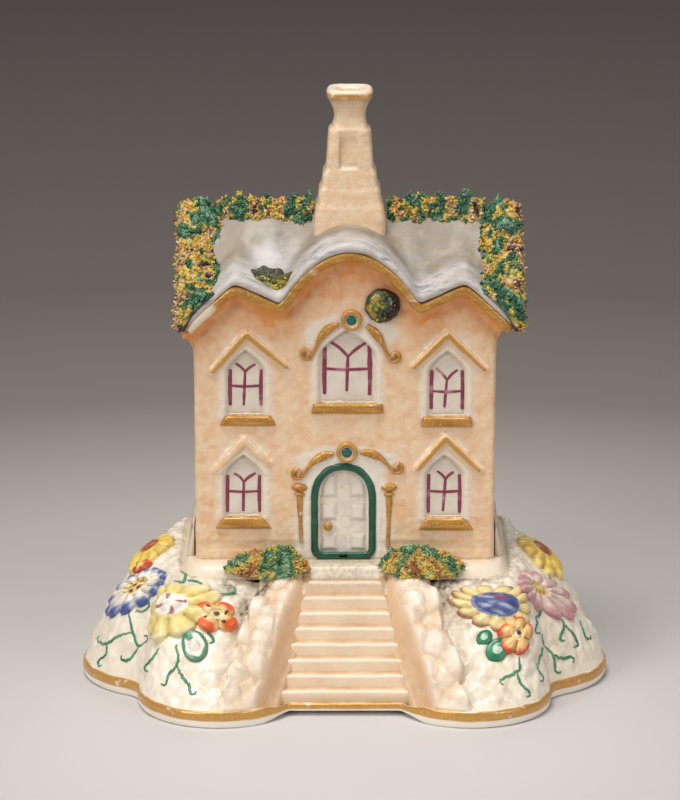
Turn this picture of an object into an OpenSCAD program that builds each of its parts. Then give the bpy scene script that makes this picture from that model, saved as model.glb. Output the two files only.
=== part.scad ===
// Cottage-shaped pastille burner: a hollow cottage that lifts off a flowered rockwork base.
// Millimetres, +Z up, the front faces -Y, and the origin lies on the table under the middle of the base.

/* [Base] */
// Overall width of the base across its side lobes
base_w = 132; // [124:1:142]
// Overall depth of the base across its front and back lobes
base_d = 88; // [84:1:100]
// Radius of the two side lobes
side_lobe_r = 22; // [19:0.5:26]
// Radius of the four corner lobes
corner_lobe_r = 20; // [18:0.5:23]
// Distance of the corner lobes' centres from the middle line
corner_lobe_x = 31; // [28:0.5:34]
// How far the straight front at the stairs lies behind the front lobes
front_inset = 9.5; // [8:0.5:11]
// How far the straight back lies in front of the back lobes
back_inset = 2; // [1:0.5:4]
// Height of the foot ring
rim_h = 2.75; // [2:0.25:4]
// Width of the foot ring
rim_w = 5; // [4:0.5:7]
// Height of the gap where the foot ring is warped off the table in front of the stairs
warp_h = 1.2; // [0:0.1:1.5]
// Width of that gap
warp_w = 38; // [30:1:44]
// Thickness of the rockwork bank
mound_t = 3; // [2.5:0.25:4]
// Height of the lumps on the bank
rock_lump = 0.7; // [0.3:0.1:1]
// Height of the crags on the back of the bank
rock_crag = 0.9; // [0.4:0.1:1.2]
// Height of the boulders on the stair walls
boulder_h = 0.8; // [0.4:0.1:1]
// How far the bank rises beside the plinth at the sides and back
bank_rise = 2; // [0:0.25:3]

/* [Plinth] */
// Height of the plinth's top, where the cottage stands, above the table
plinth_z = 32; // [28:0.5:38]
// Height of the plinth's visible edge
plinth_h = 3.5; // [3:0.25:5]
// Depth of the ledge in front of the cottage
ledge_front = 5; // [4.5:0.25:6]
// Width of the ledge beside and behind the cottage
ledge_side = 2.5; // [2.4:0.1:3.2]
// How far the plinth's edge splays outwards to its foot
plinth_splay = 1.5; // [1:0.25:2]
// Height of the kerb that keeps the cottage in place
kerb_h = 2.5; // [1.5:0.25:4]
// Thickness of the kerb
kerb_t = 2.5; // [1.5:0.25:4]
// Clearance between the base and the cottage that stands over it
seat_gap = 0.4; // [0.3:0.05:0.8]
// Height of the slanting skirting at the side walls
skirting_h = 9; // [6:0.5:12]

/* [Stairs] */
// Number of treads
treads = 8; // [6:1:10]
// Width of the stairs at the top
stair_w = 18.8; // [16:0.2:20]
// How much wider each side of the stairs gets for each millimetre forwards
stair_flare = 0.34; // [0.25:0.01:0.4]
// Thickness of the rockwork walls beside the stairs
stair_wall_t = 11.5; // [9:0.5:13]
// Depth of the stairs' slab below the treads
stair_slab = 7; // [5:0.5:10]
// Height of a bush beside the door
bush_h = 6.2; // [4:0.2:7]
// Length of a bush beside the door
bush_w = 20.5; // [16:0.5:23]

/* [Cottage] */
// Width over the side walls
house_w = 74.4; // [72:0.2:78]
// Depth over the front and back walls
house_d = 40; // [38:0.5:42]
// Distance of the front wall's face in front of the middle of the base
front_wall_y = 8; // [6:0.5:9]
// Thickness of the walls
wall_t = 3.5; // [3:0.25:4.5]
// Width of the draught arch in the back wall
draught_w = 14; // [10:0.5:18]
// Height of the draught arch in the back wall
draught_h = 18; // [14:0.5:24]

/* [Roof] */
// Height of the ridge above the plinth
ridge_h = 84.5; // [83:0.25:88]
// Fall of the main slopes for each millimetre of depth
roof_pitch = 1; // [0.96:0.02:1.06]
// Thickness of the roof shell
roof_t = 2.5; // [2:0.25:3.5]
// Overhang of the roof at the front
eave_front = 4.5; // [4:0.25:5.5]
// Overhang of the roof at the sides
eave_side = 3.2; // [2.5:0.1:4]
// Overhang of the roof at the back
eave_back = 4; // [3:0.25:5]
// How far the roof and chimney stand to the right of the middle
roof_x = 1.2; // [0:0.1:2]
// Height of the middle dormer's arch above the plinth
arch_h = 79.2; // [77:0.2:80]
// Half width of the middle dormer's arch
arch_half = 17.2; // [15:0.2:18]
// Height of the valleys beside the middle arch above the plinth
valley_h = 65.6; // [64:0.2:67]
// Height of the side gables' peaks above the plinth
gable_h = 70.8; // [69:0.2:72]
// Distance of the side gables' peaks from the roof's middle
gable_x = 28; // [26:0.25:30]
// Fall of the side gables' outer slopes for each millimetre of width
gable_fall = 0.95; // [0.85:0.01:1]
// Height of the cove below the eave
cove_h = 5; // [4:0.25:5.5]
// Height of the gilt moulding along the eave
moulding_h = 2; // [1.2:0.1:2.6]
// Thickness of the gilt moulding along the eave
moulding_t = 0.8; // [0.5:0.1:1.2]

/* [Chimney] */
// Width of the chimney's foot
chimney_w = 18; // [16:0.25:20]
// Depth of the chimney's foot
chimney_d = 14; // [12:0.25:16]
// Height of the first step above the ridge
chimney_rise = 2.4; // [1.5:0.1:4]
// Height of each of the two upper steps
step_h = 4.2; // [3:0.1:5]
// Height of the tapering shaft
shaft_h = 10.5; // [8:0.25:13]
// Height of the pot above the shaft
pot_h = 9.5; // [8:0.25:12]
// Width of the pot's neck
neck_w = 7.7; // [7.4:0.1:8.6]
// Width of the pot's cap
cap_w = 11.4; // [10:0.1:12.6]
// Width of the square flue
flue_w = 4.6; // [4.4:0.1:5]

/* [Windows] */
// Distance of the side windows from the middle
window_x = 25; // [24:0.1:26]
// Width of a side window's pane
pane_w = 9; // [8:0.1:10]
// Height of a side window's pane at its sides
pane_h = 11.5; // [10:0.1:12]
// Height of a pane's pointed head
pane_head = 4; // [3:0.1:4.5]
// Depth of the recess that a pane sits in
pane_recess = 1.2; // [0.8:0.1:1.6]
// Height of the lower panes' foot above the plinth
lower_pane = 11.6; // [10.5:0.1:12.5]
// Height of the upper panes' foot above the plinth
upper_pane = 38.5; // [37.5:0.1:39.5]
// Half width of a window hood
hood_half = 8.8; // [8:0.1:9.4]
// Height of a window hood from its ends to its peak
hood_h = 9; // [7:0.1:10]
// Height of a hood's peak above the pane's foot
hood_rise = 19.8; // [19:0.1:20.5]
// Thickness of the hood's bar as seen from the front
hood_bar = 1.8; // [1.2:0.1:2.4]
// How far hoods, sills, scrolls and roundels stand out of the wall
relief = 1.3; // [0.8:0.1:1.8]
// Width of the side windows' sills
sill_w = 14; // [12:0.2:15]
// Height of the upper sills
sill_h = 2.6; // [2:0.1:3.2]
// Height of the splayed lower sills
lower_sill_h = 3.9; // [3:0.1:4.5]
// Distance of the middle window to the right of the middle
middle_x = 0.8; // [0:0.1:1.4]
// Width of the middle window's pane
middle_w = 12.4; // [11:0.2:13]
// Height of the middle window's pane at its sides
middle_h = 13; // [12:0.1:13.5]
// Height of the middle window's foot above the plinth
middle_pane = 41.9; // [41:0.1:42.5]
// Width of the middle window's sill
middle_sill_w = 18.3; // [16:0.1:20]

/* [Door] */
// Width of the door leaf
door_w = 13; // [11:0.2:14]
// Height of the door leaf to the top of its arch
door_h = 23; // [21:0.2:23.6]
// Width of the green arch around the door
door_band = 1.6; // [1.2:0.1:2]
// Depth of the recess that the door leaf sits in
door_recess = 1.6; // [1.2:0.1:2]
// Radius of a door or window roundel
roundel_r = 2.65; // [2.2:0.05:2.8]
// Distance of the pilasters from the middle
pilaster_x = 11.2; // [11:0.1:11.8]
// Height of the pilasters
pilaster_h = 19.6; // [18:0.1:20.4]
// Radius of the door knob
knob_r = 1.1; // [0.8:0.05:1.4]

/* [Pastille] */
// Radius of the pan
pan_r = 11; // [8:0.5:14]
// Height of the pan
pan_h = 4; // [3:0.25:6]
// Radius of the pastille's foot
pastille_r = 5; // [3:0.25:6]
// Height of the pastille
pastille_h = 13; // [8:0.5:18]

/* [Foliage] */
// Thickness of the ivy
ivy_t = 4; // [2.5:0.25:5]
// Share of that thickness by which its clumps rise and fall
ivy_clump = 0.4; // [0.2:0.05:0.5]
// Width of the ivy along the gables
gable_ivy_w = 8.5; // [7:0.25:10]
// How far the ivy hangs outside the gables
ivy_hang = 3; // [2:0.25:3.5]
// Half width of the ivy along the ridge
ridge_ivy_half = 3.5; // [3:0.25:6]
// Radius of the tuft on the front
tuft_r = 4.1; // [3.5:0.1:4.2]
// Height of the applied flowers
flower_h = 2; // [1.2:0.1:2.6]

/* [Hidden] */
$fn = 48;

// Colours of the glazed clay
cream = "#f0e6d2";
apricot = "#eec79a";
white_glaze = "#eeeae4";
gilt = "#b8863b";
leaf_green = "#4f7a45";
enamel_green = "#0f7a5c";

// Clearance between pieces of clay that are luted together along curved faces
lute_gap = 0.2;
// Clearance between the roof's underside and the walls below it
roof_gap = 0.15;
// Blend of the base's lobes into each other
lobe_blend = 6;
// Blend of the roof's dormers into each other
roof_blend = 2.5;

// Plan of the base
side_lobe = [base_w / 2 - side_lobe_r, 0];
front_lobe = [corner_lobe_x, corner_lobe_r - base_d / 2];
back_lobe = [corner_lobe_x, base_d / 2 - corner_lobe_r];
front_line_y = front_inset - base_d / 2;
back_line_y = base_d / 2 - back_inset;

// Levels and plan of the plinth
mound_top = plinth_z - plinth_h;
house_front_y = -front_wall_y;
house_back_y = house_front_y + house_d;
ledge_front_y = house_front_y - ledge_front;
foot_front_y = ledge_front_y - plinth_splay;
foot_back_y = house_back_y + ledge_side + plinth_splay;
foot_mid_y = (foot_front_y + foot_back_y) / 2;
foot_half_w = house_w / 2 + ledge_side + plinth_splay;
foot_half_d = (foot_back_y - foot_front_y) / 2;
corner_power = 12;
plinth_step = plinth_h / 2;

// Stairs
stair_rise = (plinth_z - rim_h) / (treads + 1);
stair_end_y = front_line_y + 1;
stair_run = (foot_front_y - stair_end_y) / treads;
stair_wall_z = plinth_z - 1.5;
stair_wall_depth = 9;
stair_wall_nose = 1.5;

// Roof, in the cottage's own frame: z from the plinth, y from the front wall's face
ridge_y = house_d / 2;
eave_y = -eave_front;
roof_half = house_w / 2 + eave_side;
roof_back_y = house_d + eave_back;
gable_inner_fall = (gable_h - valley_h) / (gable_x - arch_half);
gable_round = 1.2;
arch_rise = 0.05;
gable_rise = 0.17;
roof_columns = 48;
front_rows = 11;

// Chimney levels above the plinth
chimney_foot = ridge_h - chimney_d / 2 - roof_t - 1.5;
first_step = ridge_h + chimney_rise;
second_step = first_step + step_h;
third_step = second_step + step_h;
shaft_top = third_step + shaft_h;
chimney_top = shaft_top + pot_h;
step_in = 0.5;
shaft_w = chimney_w - 6.6;
shaft_top_w = chimney_w - 8;

// Larger of two values, rounded where they come within k of each other
function smooth_max(a, b, k) = max(a, b) + pow(max(k - abs(a - b), 0), 2) / (4 * k);
// Slow waves that stand for hand-pressed lumps, between -1 and 1
function lumps(a, b) = (sin(a) * sin(b) + sin(1.7 * a + 40) * sin(2.3 * b + 110)) / 2;

// Reach of a round lobe from the origin in direction a
function lobe_reach(c, r, a) =
  let (along = c.x * cos(a) + c.y * sin(a), across = c.x * sin(a) - c.y * cos(a), d = r * r - across * across)
  d > 0 ? max(along + sqrt(d), 0) : 0;
// Reach of the straight front or back from the origin in direction a
function line_reach(y, a) = y * sin(a) > 0 ? min(y / sin(a), norm(front_lobe)) : 0;
// Reach of the base's lobed outline in direction a
function rim_reach(a) =
  let (
    m = abs(cos(a)) == cos(a) ? a : 180 - a,
    corner = max(lobe_reach(front_lobe, corner_lobe_r, m), lobe_reach(back_lobe, corner_lobe_r, m)),
    flat = max(line_reach(front_line_y, m), line_reach(back_line_y, m))
  )
  smooth_max(smooth_max(lobe_reach(side_lobe, side_lobe_r, m), corner, lobe_blend), flat, lobe_blend / 3);
function rim_at(a) = rim_reach(a) * [cos(a), sin(a)];

// Reach of the plinth's rounded oblong outline in direction b from its own middle
function oblong_reach(half_w, half_d, b) =
  pow(pow(abs(cos(b)) / half_w, corner_power) + pow(abs(sin(b)) / half_d, corner_power), -1 / corner_power);
function oblong(half_w, half_d) = [
  for (i = [0 : plinth_points - 1])
    let (b = 360 * i / plinth_points)
    oblong_reach(half_w, half_d, b) * [cos(b), sin(b)] + [0, foot_mid_y]
];

// Half width of the stairs at y, with share w of the side wall's thickness added
function lane_x(w, y) = stair_w / 2 + stair_flare * (ledge_front_y - y) + w * stair_wall_t;
// Direction in which lane w crosses the base's outline, found by halving
function lane_angle(w, low, high, left) =
  let (mid = (low + high) / 2, p = rim_at(mid))
  left == 0 ? mid
  : p.x < lane_x(w, p.y) ? lane_angle(w, mid, high, left - 1)
  : lane_angle(w, low, mid, left - 1);
lane_halvings = 24;
mound_start = lane_angle(1, -89, -25, lane_halvings);
mound_sweep = 180 - 2 * mound_start;
foot_start = atan2(foot_front_y - foot_mid_y, lane_x(1, foot_front_y));
foot_sweep = 180 - 2 * foot_start;

// Top edge of the bank, beside the plinth's foot, above the rim's direction a
function foot_at(a) =
  let (b = foot_start + foot_sweep * (a - mound_start) / mound_sweep)
  (oblong_reach(foot_half_w, foot_half_d, b) + lute_gap) * [cos(b), sin(b)] + [0, foot_mid_y];
// How near direction a is to the stairs, from 1 beside them to 0 round the lobes
function near_stairs(a) = exp(-pow(min(a - mound_start, mound_start + mound_sweep - a) / 22, 2));
// Roundness of the bank: straighter beside the stairs, fuller round the lobes
function bank_power(a) = 2.3 - near_stairs(a);
// Point of the bank in direction a, at share s of the way from the rim to the plinth
function bank_at(a, s) =
  let (
    rim = rim_at(a),
    xy = rim + (foot_at(a) - rim) * s,
    crags = rock_crag * max(sin(a), 0) * lumps(23 * a, 620 * s + 11 * a),
    lift = 4 * s * (1 - s) * (rock_lump * lumps(9 * a, 260 * s + 3 * a) + crags),
    top = mound_top + bank_rise * (1 - near_stairs(a)),
    z = rim_h + (top - rim_h) * (1 - pow(1 - s, bank_power(a))) + lift
  )
  [xy.x, xy.y, z];
// Inner face of the bank below the same point
function bank_inside(a, s) =
  let (p = bank_at(a, s), rim = rim_at(a), inward = (foot_at(a) - rim) / norm(foot_at(a) - rim), in = mound_t + s)
  [p.x + in * inward.x, p.y + in * inward.y, max(min(p.z, mound_top) - mound_t, rim_h)];
// Outward unit normal of the bank
function bank_normal(a, s) =
  let (n = cross(bank_at(a + 0.5, s) - bank_at(a - 0.5, s), bank_at(a, s + 0.01) - bank_at(a, s - 0.01)))
  n / norm(n);

// Underside of the roof above x, y in the cottage's frame
function main_slope(y) = ridge_h - roof_t - roof_pitch * abs(y - ridge_y);
function gable_line(x) =
  let (d = abs(x) - gable_x, fall = d < 0 ? gable_inner_fall : gable_fall)
  gable_h - fall * (sqrt(d * d + gable_round * gable_round) - gable_round);
function arch_line(x) = arch_h - (arch_h - valley_h) * pow(x / arch_half, 2);
function eave_line(x) = smooth_max(arch_line(x - roof_x), gable_line(x - roof_x), roof_blend);
function dormers(x, y) =
  smooth_max(
    arch_line(x - roof_x) + arch_rise * (y - eave_y), gable_line(x - roof_x) + gable_rise * (y - eave_y), roof_blend
  );
// Where a dormer stands above the main ridge, the back slope falls from it to the main slope half way down
function crest_rise(x) = smooth_max(main_slope(ridge_y), dormers(x, ridge_y), roof_blend) - main_slope(ridge_y);
function roof_under(x, y) =
  y > ridge_y ? main_slope(y) + crest_rise(x) * max(1 - 2 * (y - ridge_y) / (roof_back_y - ridge_y), 0)
  : smooth_max(main_slope(y), dormers(x, y), roof_blend);
function roof_over(x, y) = roof_under(x, y) + roof_t;

function column_x(i) = roof_x + roof_half * (2 * i / roof_columns - 1);
roof_rows = [
  for (i = [0 : front_rows]) eave_y + (ridge_y - eave_y) * i / front_rows,
  (ridge_y + roof_back_y) / 2,
  roof_back_y
];

// Solid between two grids of points of the same size. outer[i][j] faces out where i x j points out.
// A ring closes on itself along j.
module slab(outer, inner, ring = false) {
  n = len(outer);
  m = len(outer[0]);
  last = ring ? m - 1 : m - 2;
  function id(side, i, j) = side * n * m + i * m + j % m;
  function quad(a, b, c, d) = [[a, b, c], [a, c, d]];
  faces = [
    for (i = [0 : n - 2], j = [0 : last])
      each quad(id(0, i, j), id(0, i, j + 1), id(0, i + 1, j + 1), id(0, i + 1, j)),
    for (i = [0 : n - 2], j = [0 : last])
      each quad(id(1, i, j), id(1, i + 1, j), id(1, i + 1, j + 1), id(1, i, j + 1)),
    for (j = [0 : last]) each quad(id(0, 0, j), id(1, 0, j), id(1, 0, j + 1), id(0, 0, j + 1)),
    for (j = [0 : last])
      each quad(id(0, n - 1, j), id(0, n - 1, j + 1), id(1, n - 1, j + 1), id(1, n - 1, j)),
    if (!ring)
      for (i = [0 : n - 2]) each quad(id(0, i, 0), id(0, i + 1, 0), id(1, i + 1, 0), id(1, i, 0)),
    if (!ring)
      for (i = [0 : n - 2])
        each quad(id(0, i, m - 1), id(1, i, m - 1), id(1, i + 1, m - 1), id(0, i + 1, m - 1))
  ];
  polyhedron(points = [for (side = [outer, inner]) for (row = side) each row], faces = faces);
}

// Square grid of n by n cells folded onto a round patch: each point is [radius from 0 to 1, direction]
function round_grid(n) = [
  for (i = [0 : n])
    [for (j = [0 : n]) let (a = 2 * i / n - 1, b = 2 * j / n - 1) [max(abs(a), abs(b)), atan2(b, a)]]
];
// Solid patch that at() places: at(radius, direction, side) with side 1 on top and 0 below
module patch(n, at) {
  grid = round_grid(n);
  slab(
    [for (row = grid) [for (p = row) at(p[0], p[1], 1)]],
    [for (row = grid) [for (p = row) at(p[0], p[1], 0)]]
  );
}

// Places children in the cottage's own frame
module in_cottage() {
  translate([0, house_front_y, plinth_z]) children();
}
// Stands a flat shape, drawn as seen from the front, against the front wall from depth y, t thick
module on_front(y, t) {
  translate([0, y, 0]) rotate([90, 0, 0]) linear_extrude(t) children();
}
// Makes a child and its mirror image across the middle
module both_sides() {
  children();
  mirror([1, 0, 0]) children();
}

rim_points = 144;
warp_points = 12;
// Shallow arch under the foot ring in front of the stairs
module warp_gap() {
  sunk = 0.05;
  rotate([90, 0, 0])
    linear_extrude(base_d)
      polygon([
        for (i = [0 : warp_points])
          let (t = 2 * i / warp_points - 1)
          [t * warp_w / 2, (warp_h + sunk) * (1 - t * t) - sunk]
      ]);
}
module base_rim() {
  color(cream)
    difference() {
      linear_extrude(rim_h)
        polygon(
          points = concat(
            [for (i = [0 : rim_points - 1]) rim_at(360 * i / rim_points)],
            [
              for (i = [0 : rim_points - 1])
                let (a = 360 * i / rim_points)
                (rim_reach(a) - rim_w) * [cos(a), sin(a)]
            ]
          ),
          paths = [[for (i = [0 : rim_points - 1]) i], [for (i = [0 : rim_points - 1]) rim_points + i]]
        );
      warp_gap();
    }
}

bank_stations = 84;
bank_steps = 9;
module base_mound() {
  angles = [for (i = [0 : bank_stations]) mound_start + mound_sweep * i / bank_stations];
  color(cream)
    slab(
      [
        for (a = angles)
          let (shelf = bank_inside(a, 1), edge = foot_at(a))
          [
            for (j = [0 : bank_steps]) bank_at(a, j / bank_steps),
            [edge.x, edge.y, mound_top],
            [shelf.x, shelf.y, mound_top]
          ]
      ],
      [for (a = angles) [for (j = [0 : bank_steps + 2]) bank_inside(a, j / (bank_steps + 2))]]
    );
}

plinth_points = 96;
module base_plinth() {
  kerb_w = house_w - 2 * (wall_t + seat_gap);
  kerb_d = house_d - 2 * (wall_t + seat_gap);
  color(cream) {
    translate([0, 0, mound_top]) linear_extrude(plinth_step) polygon(oblong(foot_half_w, foot_half_d));
    translate([0, 0, mound_top])
      linear_extrude(plinth_h) polygon(oblong(foot_half_w - plinth_splay, foot_half_d - plinth_splay));
    translate([-kerb_w / 2, house_front_y + wall_t + seat_gap, plinth_z])
      difference() {
        translate([0, 0, -plinth_step]) cube([kerb_w, kerb_d, kerb_h + plinth_step]);
        translate([kerb_t, kerb_t, 0]) cube([kerb_w - 2 * kerb_t, kerb_d - 2 * kerb_t, kerb_h + 1]);
      }
  }
}

module side_skirting() {
  foot = ledge_side - seat_gap;
  tip = 0.6;
  color(cream)
    both_sides()
      translate([house_w / 2 + seat_gap, house_front_y + ledge_side, plinth_z])
        rotate([90, 0, 180])
          mirror([1, 0, 0])
            linear_extrude(house_d - 2 * ledge_side) polygon([[0, 0], [foot, 0], [tip, skirting_h], [0, skirting_h]]);
}

module stair_flight() {
  bearing = rim_w - 1;
  color(cream)
    intersection() {
      rotate([90, 0, 90])
        translate([0, 0, -base_w / 2])
          linear_extrude(base_w)
            polygon([
              for (k = [1 : treads])
                for (y = [k - 1, k])
                  [foot_front_y - y * stair_run, plinth_z - k * stair_rise],
              [stair_end_y, rim_h],
              [stair_end_y + bearing, rim_h],
              [foot_front_y, plinth_z - stair_rise - stair_slab]
            ]);
      linear_extrude(plinth_z)
        polygon([
          for (side = [-1, 1])
            for (y = side < 0 ? [foot_front_y, stair_end_y] : [stair_end_y, foot_front_y])
              [side * lane_x(0, y), y]
        ]);
    }
}

wall_stations = 16;
wall_lanes = 6;
// Top of a stair wall at share v of the way forwards, in lane w
function stair_wall_top(v, w) =
  rim_h + stair_wall_nose + (stair_wall_z - rim_h - stair_wall_nose) * pow(1 - v, 0.8)
  + 4 * v * (1 - v) * boulder_h * lumps(1300 * v, 560 * w + 400 * v);
// Plan point of a stair wall
function stair_wall_at(v, w) =
  let (
    inset = 0.8,
    angle = lane_angle(w, -89, -25, lane_halvings),
    front = rim_at(angle),
    back = [lane_x(w, foot_front_y), foot_front_y],
    reach = 1 - inset / norm(front - back)
  )
  back + (front - back) * v * reach;
module stair_wall_right() {
  rows = [
    for (i = [0 : wall_stations])
      [for (j = [0 : wall_lanes]) let (v = i / wall_stations, w = j / wall_lanes) concat(stair_wall_at(v, w), [v, w])]
  ];
  color(apricot)
    slab(
      [for (row = rows) [for (p = row) [p[0], p[1], stair_wall_top(p[2], p[3])]]],
      [for (row = rows) [for (p = row) [p[0], p[1], max(rim_h, stair_wall_top(p[2], p[3]) - stair_wall_depth)]]]
    );
}
module stair_wall_left() {
  mirror([1, 0, 0]) stair_wall_right();
}

bush_cells = 12;
bush_fall = 0.5;
module door_bush(lump_turn) {
  half_d = 4;
  back_y = house_front_y - relief - seat_gap;
  inner_x = stair_w / 2 - 0.4;
  color(leaf_green)
    patch(
      bush_cells,
      function(r, a, side)
        let (
          x = inner_x + bush_w / 2 * (1 + r * cos(a)),
          y = back_y - half_d * (1 - r * sin(a)),
          floor = plinth_z + lute_gap - bush_fall * max(ledge_front_y - y, 0),
          crown = max(1 - pow(r, 3), 0.12) * bush_h * (1 + 0.14 * lumps(900 * r * cos(a) + lump_turn, 500 * r * sin(a)))
        )
        [x, y, floor + side * crown]
    );
}
module door_bush_right() {
  door_bush(0);
}
module door_bush_left() {
  mirror([1, 0, 0]) door_bush(140);
}

pan_wall = 1.6;
pan_floor = 1.8;
module pastille_pan() {
  color(white_glaze)
    translate([0, house_front_y + ridge_y, plinth_z])
      rotate_extrude()
        polygon([
          [0, 0], [pan_r - pan_wall, 0], [pan_r, pan_h], [pan_r - pan_wall, pan_h],
          [pan_r - 2 * pan_wall, pan_floor], [0, pan_floor]
        ]);
}

pastille_tip = 1.2;
module pastille() {
  color("#3a3532")
    translate([0, house_front_y + ridge_y, plinth_z + pan_floor])
      rotate_extrude()
        polygon([
          [0, 0], [pastille_r, 0], [pastille_r, 1], [pastille_tip, pastille_h - 0.6], [pastille_tip / 2, pastille_h],
          [0, pastille_h]
        ]);
}

flower_cells = 8;
// Flower laid on the bank in direction a, share s up it, r in radius with a number of rounded petals,
// stretch times longer and narrower along a line that slants up the bank
module blossom(a, s, r, petals, h, stretch = 1, slant = 0) {
  along = norm(bank_at(a + 0.5, s) - bank_at(a - 0.5, s));
  up = norm(bank_at(a, s + 0.01) - bank_at(a, s - 0.01)) / 0.02;
  patch(
    flower_cells,
    function(t, turn, side)
      let (
        reach = r * t * (1 + 0.1 * cos(petals * turn)),
        long = reach * cos(turn) * stretch,
        short = reach * sin(turn) / stretch,
        da = (long * cos(slant) - short * sin(slant)) / along,
        ds = (long * sin(slant) + short * cos(slant)) / up,
        height = lute_gap + side * h * (0.4 + 0.6 * (1 - t * t))
      )
      bank_at(a + da, s + ds) + height * bank_normal(a + da, s + ds)
  );
}
module yellow_peony() {
  color("#e8c53a") blossom(215, 0.565, 7, 9, flower_h, 1.4, 38);
}
module blue_aster() {
  color("#4a5fa8") blossom(194, 0.47, 7, 12, flower_h, 1.55, 40);
}
module orange_blossom_left() {
  color("#d65f2e") blossom(228, 0.635, 3.2, 4, flower_h, 1.1);
}
module red_blossom_left() {
  color("#c8502f") blossom(188.5, 0.6, 2.1, 5, flower_h, 1.4, 34);
}
module yellow_daisy_left() {
  color("#e6c23c") blossom(179, 0.71, 5.6, 10, flower_h, 1.05);
}
module bud_left() {
  color("#e8ede4") blossom(225, 0.4, 2.5, 4, flower_h);
}
module sunflower_right() {
  color("#e3b93a") blossom(-41.3, 0.655, 6.8, 11, flower_h, 1.38, -29);
}
module orange_blossom_right() {
  color("#d4552c") blossom(-38.6, 0.39, 3, 5, flower_h);
}
module leaves_right() {
  color(enamel_green) blossom(-44.6, 0.37, 2.2, 3, flower_h);
}
module pink_daisy_right() {
  color("#dc9aa6") blossom(-20.5, 0.52, 6.8, 12, flower_h, 1.68, -37);
}
module yellow_daisy_right() {
  color("#e6c23c") blossom(-1, 0.68, 6.4, 10, flower_h, 1.1);
}

// Outline of a window pane: an upright with a pointed head
module pane_outline(w, h, head) {
  polygon([[-w / 2, 0], [w / 2, 0], [w / 2, h], [0, h + head], [-w / 2, h]]);
}
// Outline of the door: an upright with a round arch, h high over all
module door_outline(w, h) {
  translate([-w / 2, 0]) square([w, h - w / 2]);
  translate([0, h - w / 2]) circle(w / 2);
}
// Runs its children at each of the four side windows
module at_side_windows() {
  for (side = [-1, 1])
    for (z = [lower_pane, upper_pane])
      translate([side * window_x, z]) children();
}
middle_head = 5.1;
pane_play = 0.1;
module all_panes(play) {
  at_side_windows() translate([0, play]) pane_outline(pane_w - 2 * play, pane_h - play, pane_head - play);
  translate([middle_x, middle_pane + play])
    pane_outline(middle_w - 2 * play, middle_h - play, middle_head - play);
}

// Top of a wall standing below the roof at x, y
function wall_top(x, y) = roof_under(x, y) - roof_gap;
side_samples = 14;
module house_walls() {
  half = house_w / 2;
  inner_d = house_d - 2 * wall_t;
  facade_x = [half, for (i = [roof_columns : -1 : 0]) if (abs(column_x(i)) < half) column_x(i), -half];
  color(apricot)
    in_cottage()
      difference() {
        union() {
          on_front(wall_t, wall_t)
            polygon([[-half, 0], [half, 0], for (x = facade_x) [x, wall_top(x, 0)]]);
          on_front(house_d, wall_t)
            translate([-half, 0]) square([house_w, wall_top(0, house_d)]);
          for (side = [-1, 1])
            translate([side > 0 ? half - wall_t : -half, 0, 0])
              rotate([90, 0, 90])
                linear_extrude(wall_t)
                  polygon([
                    [wall_t, 0],
                    for (k = [0 : side_samples])
                      let (y = wall_t + inner_d * k / side_samples)
                      [y, wall_top(side * half, y)],
                    [house_d - wall_t, 0]
                  ]);
        }
        on_front(pane_recess, pane_recess + 1) all_panes(0);
        on_front(door_recess, door_recess + 1) door_outline(door_w, door_h);
        on_front(house_d + 1, wall_t + 2) door_outline(draught_w, draught_h);
      }
}

module roof() {
  rows = [for (i = [0 : roof_columns]) [for (y = roof_rows) [column_x(i), y]]];
  color(white_glaze)
    in_cottage()
      difference() {
        slab(
          [for (row = rows) [for (p = row) [p.x, p.y, roof_over(p.x, p.y)]]],
          [for (row = rows) [for (p = row) [p.x, p.y, roof_under(p.x, p.y)]]]
        );
        translate([roof_x - chimney_w / 2 - lute_gap, ridge_y - chimney_d / 2 - lute_gap, chimney_foot - 1])
          cube([chimney_w + 2 * lute_gap, chimney_d + 2 * lute_gap, ridge_h]);
      }
}

chimney_points = 24;
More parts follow.
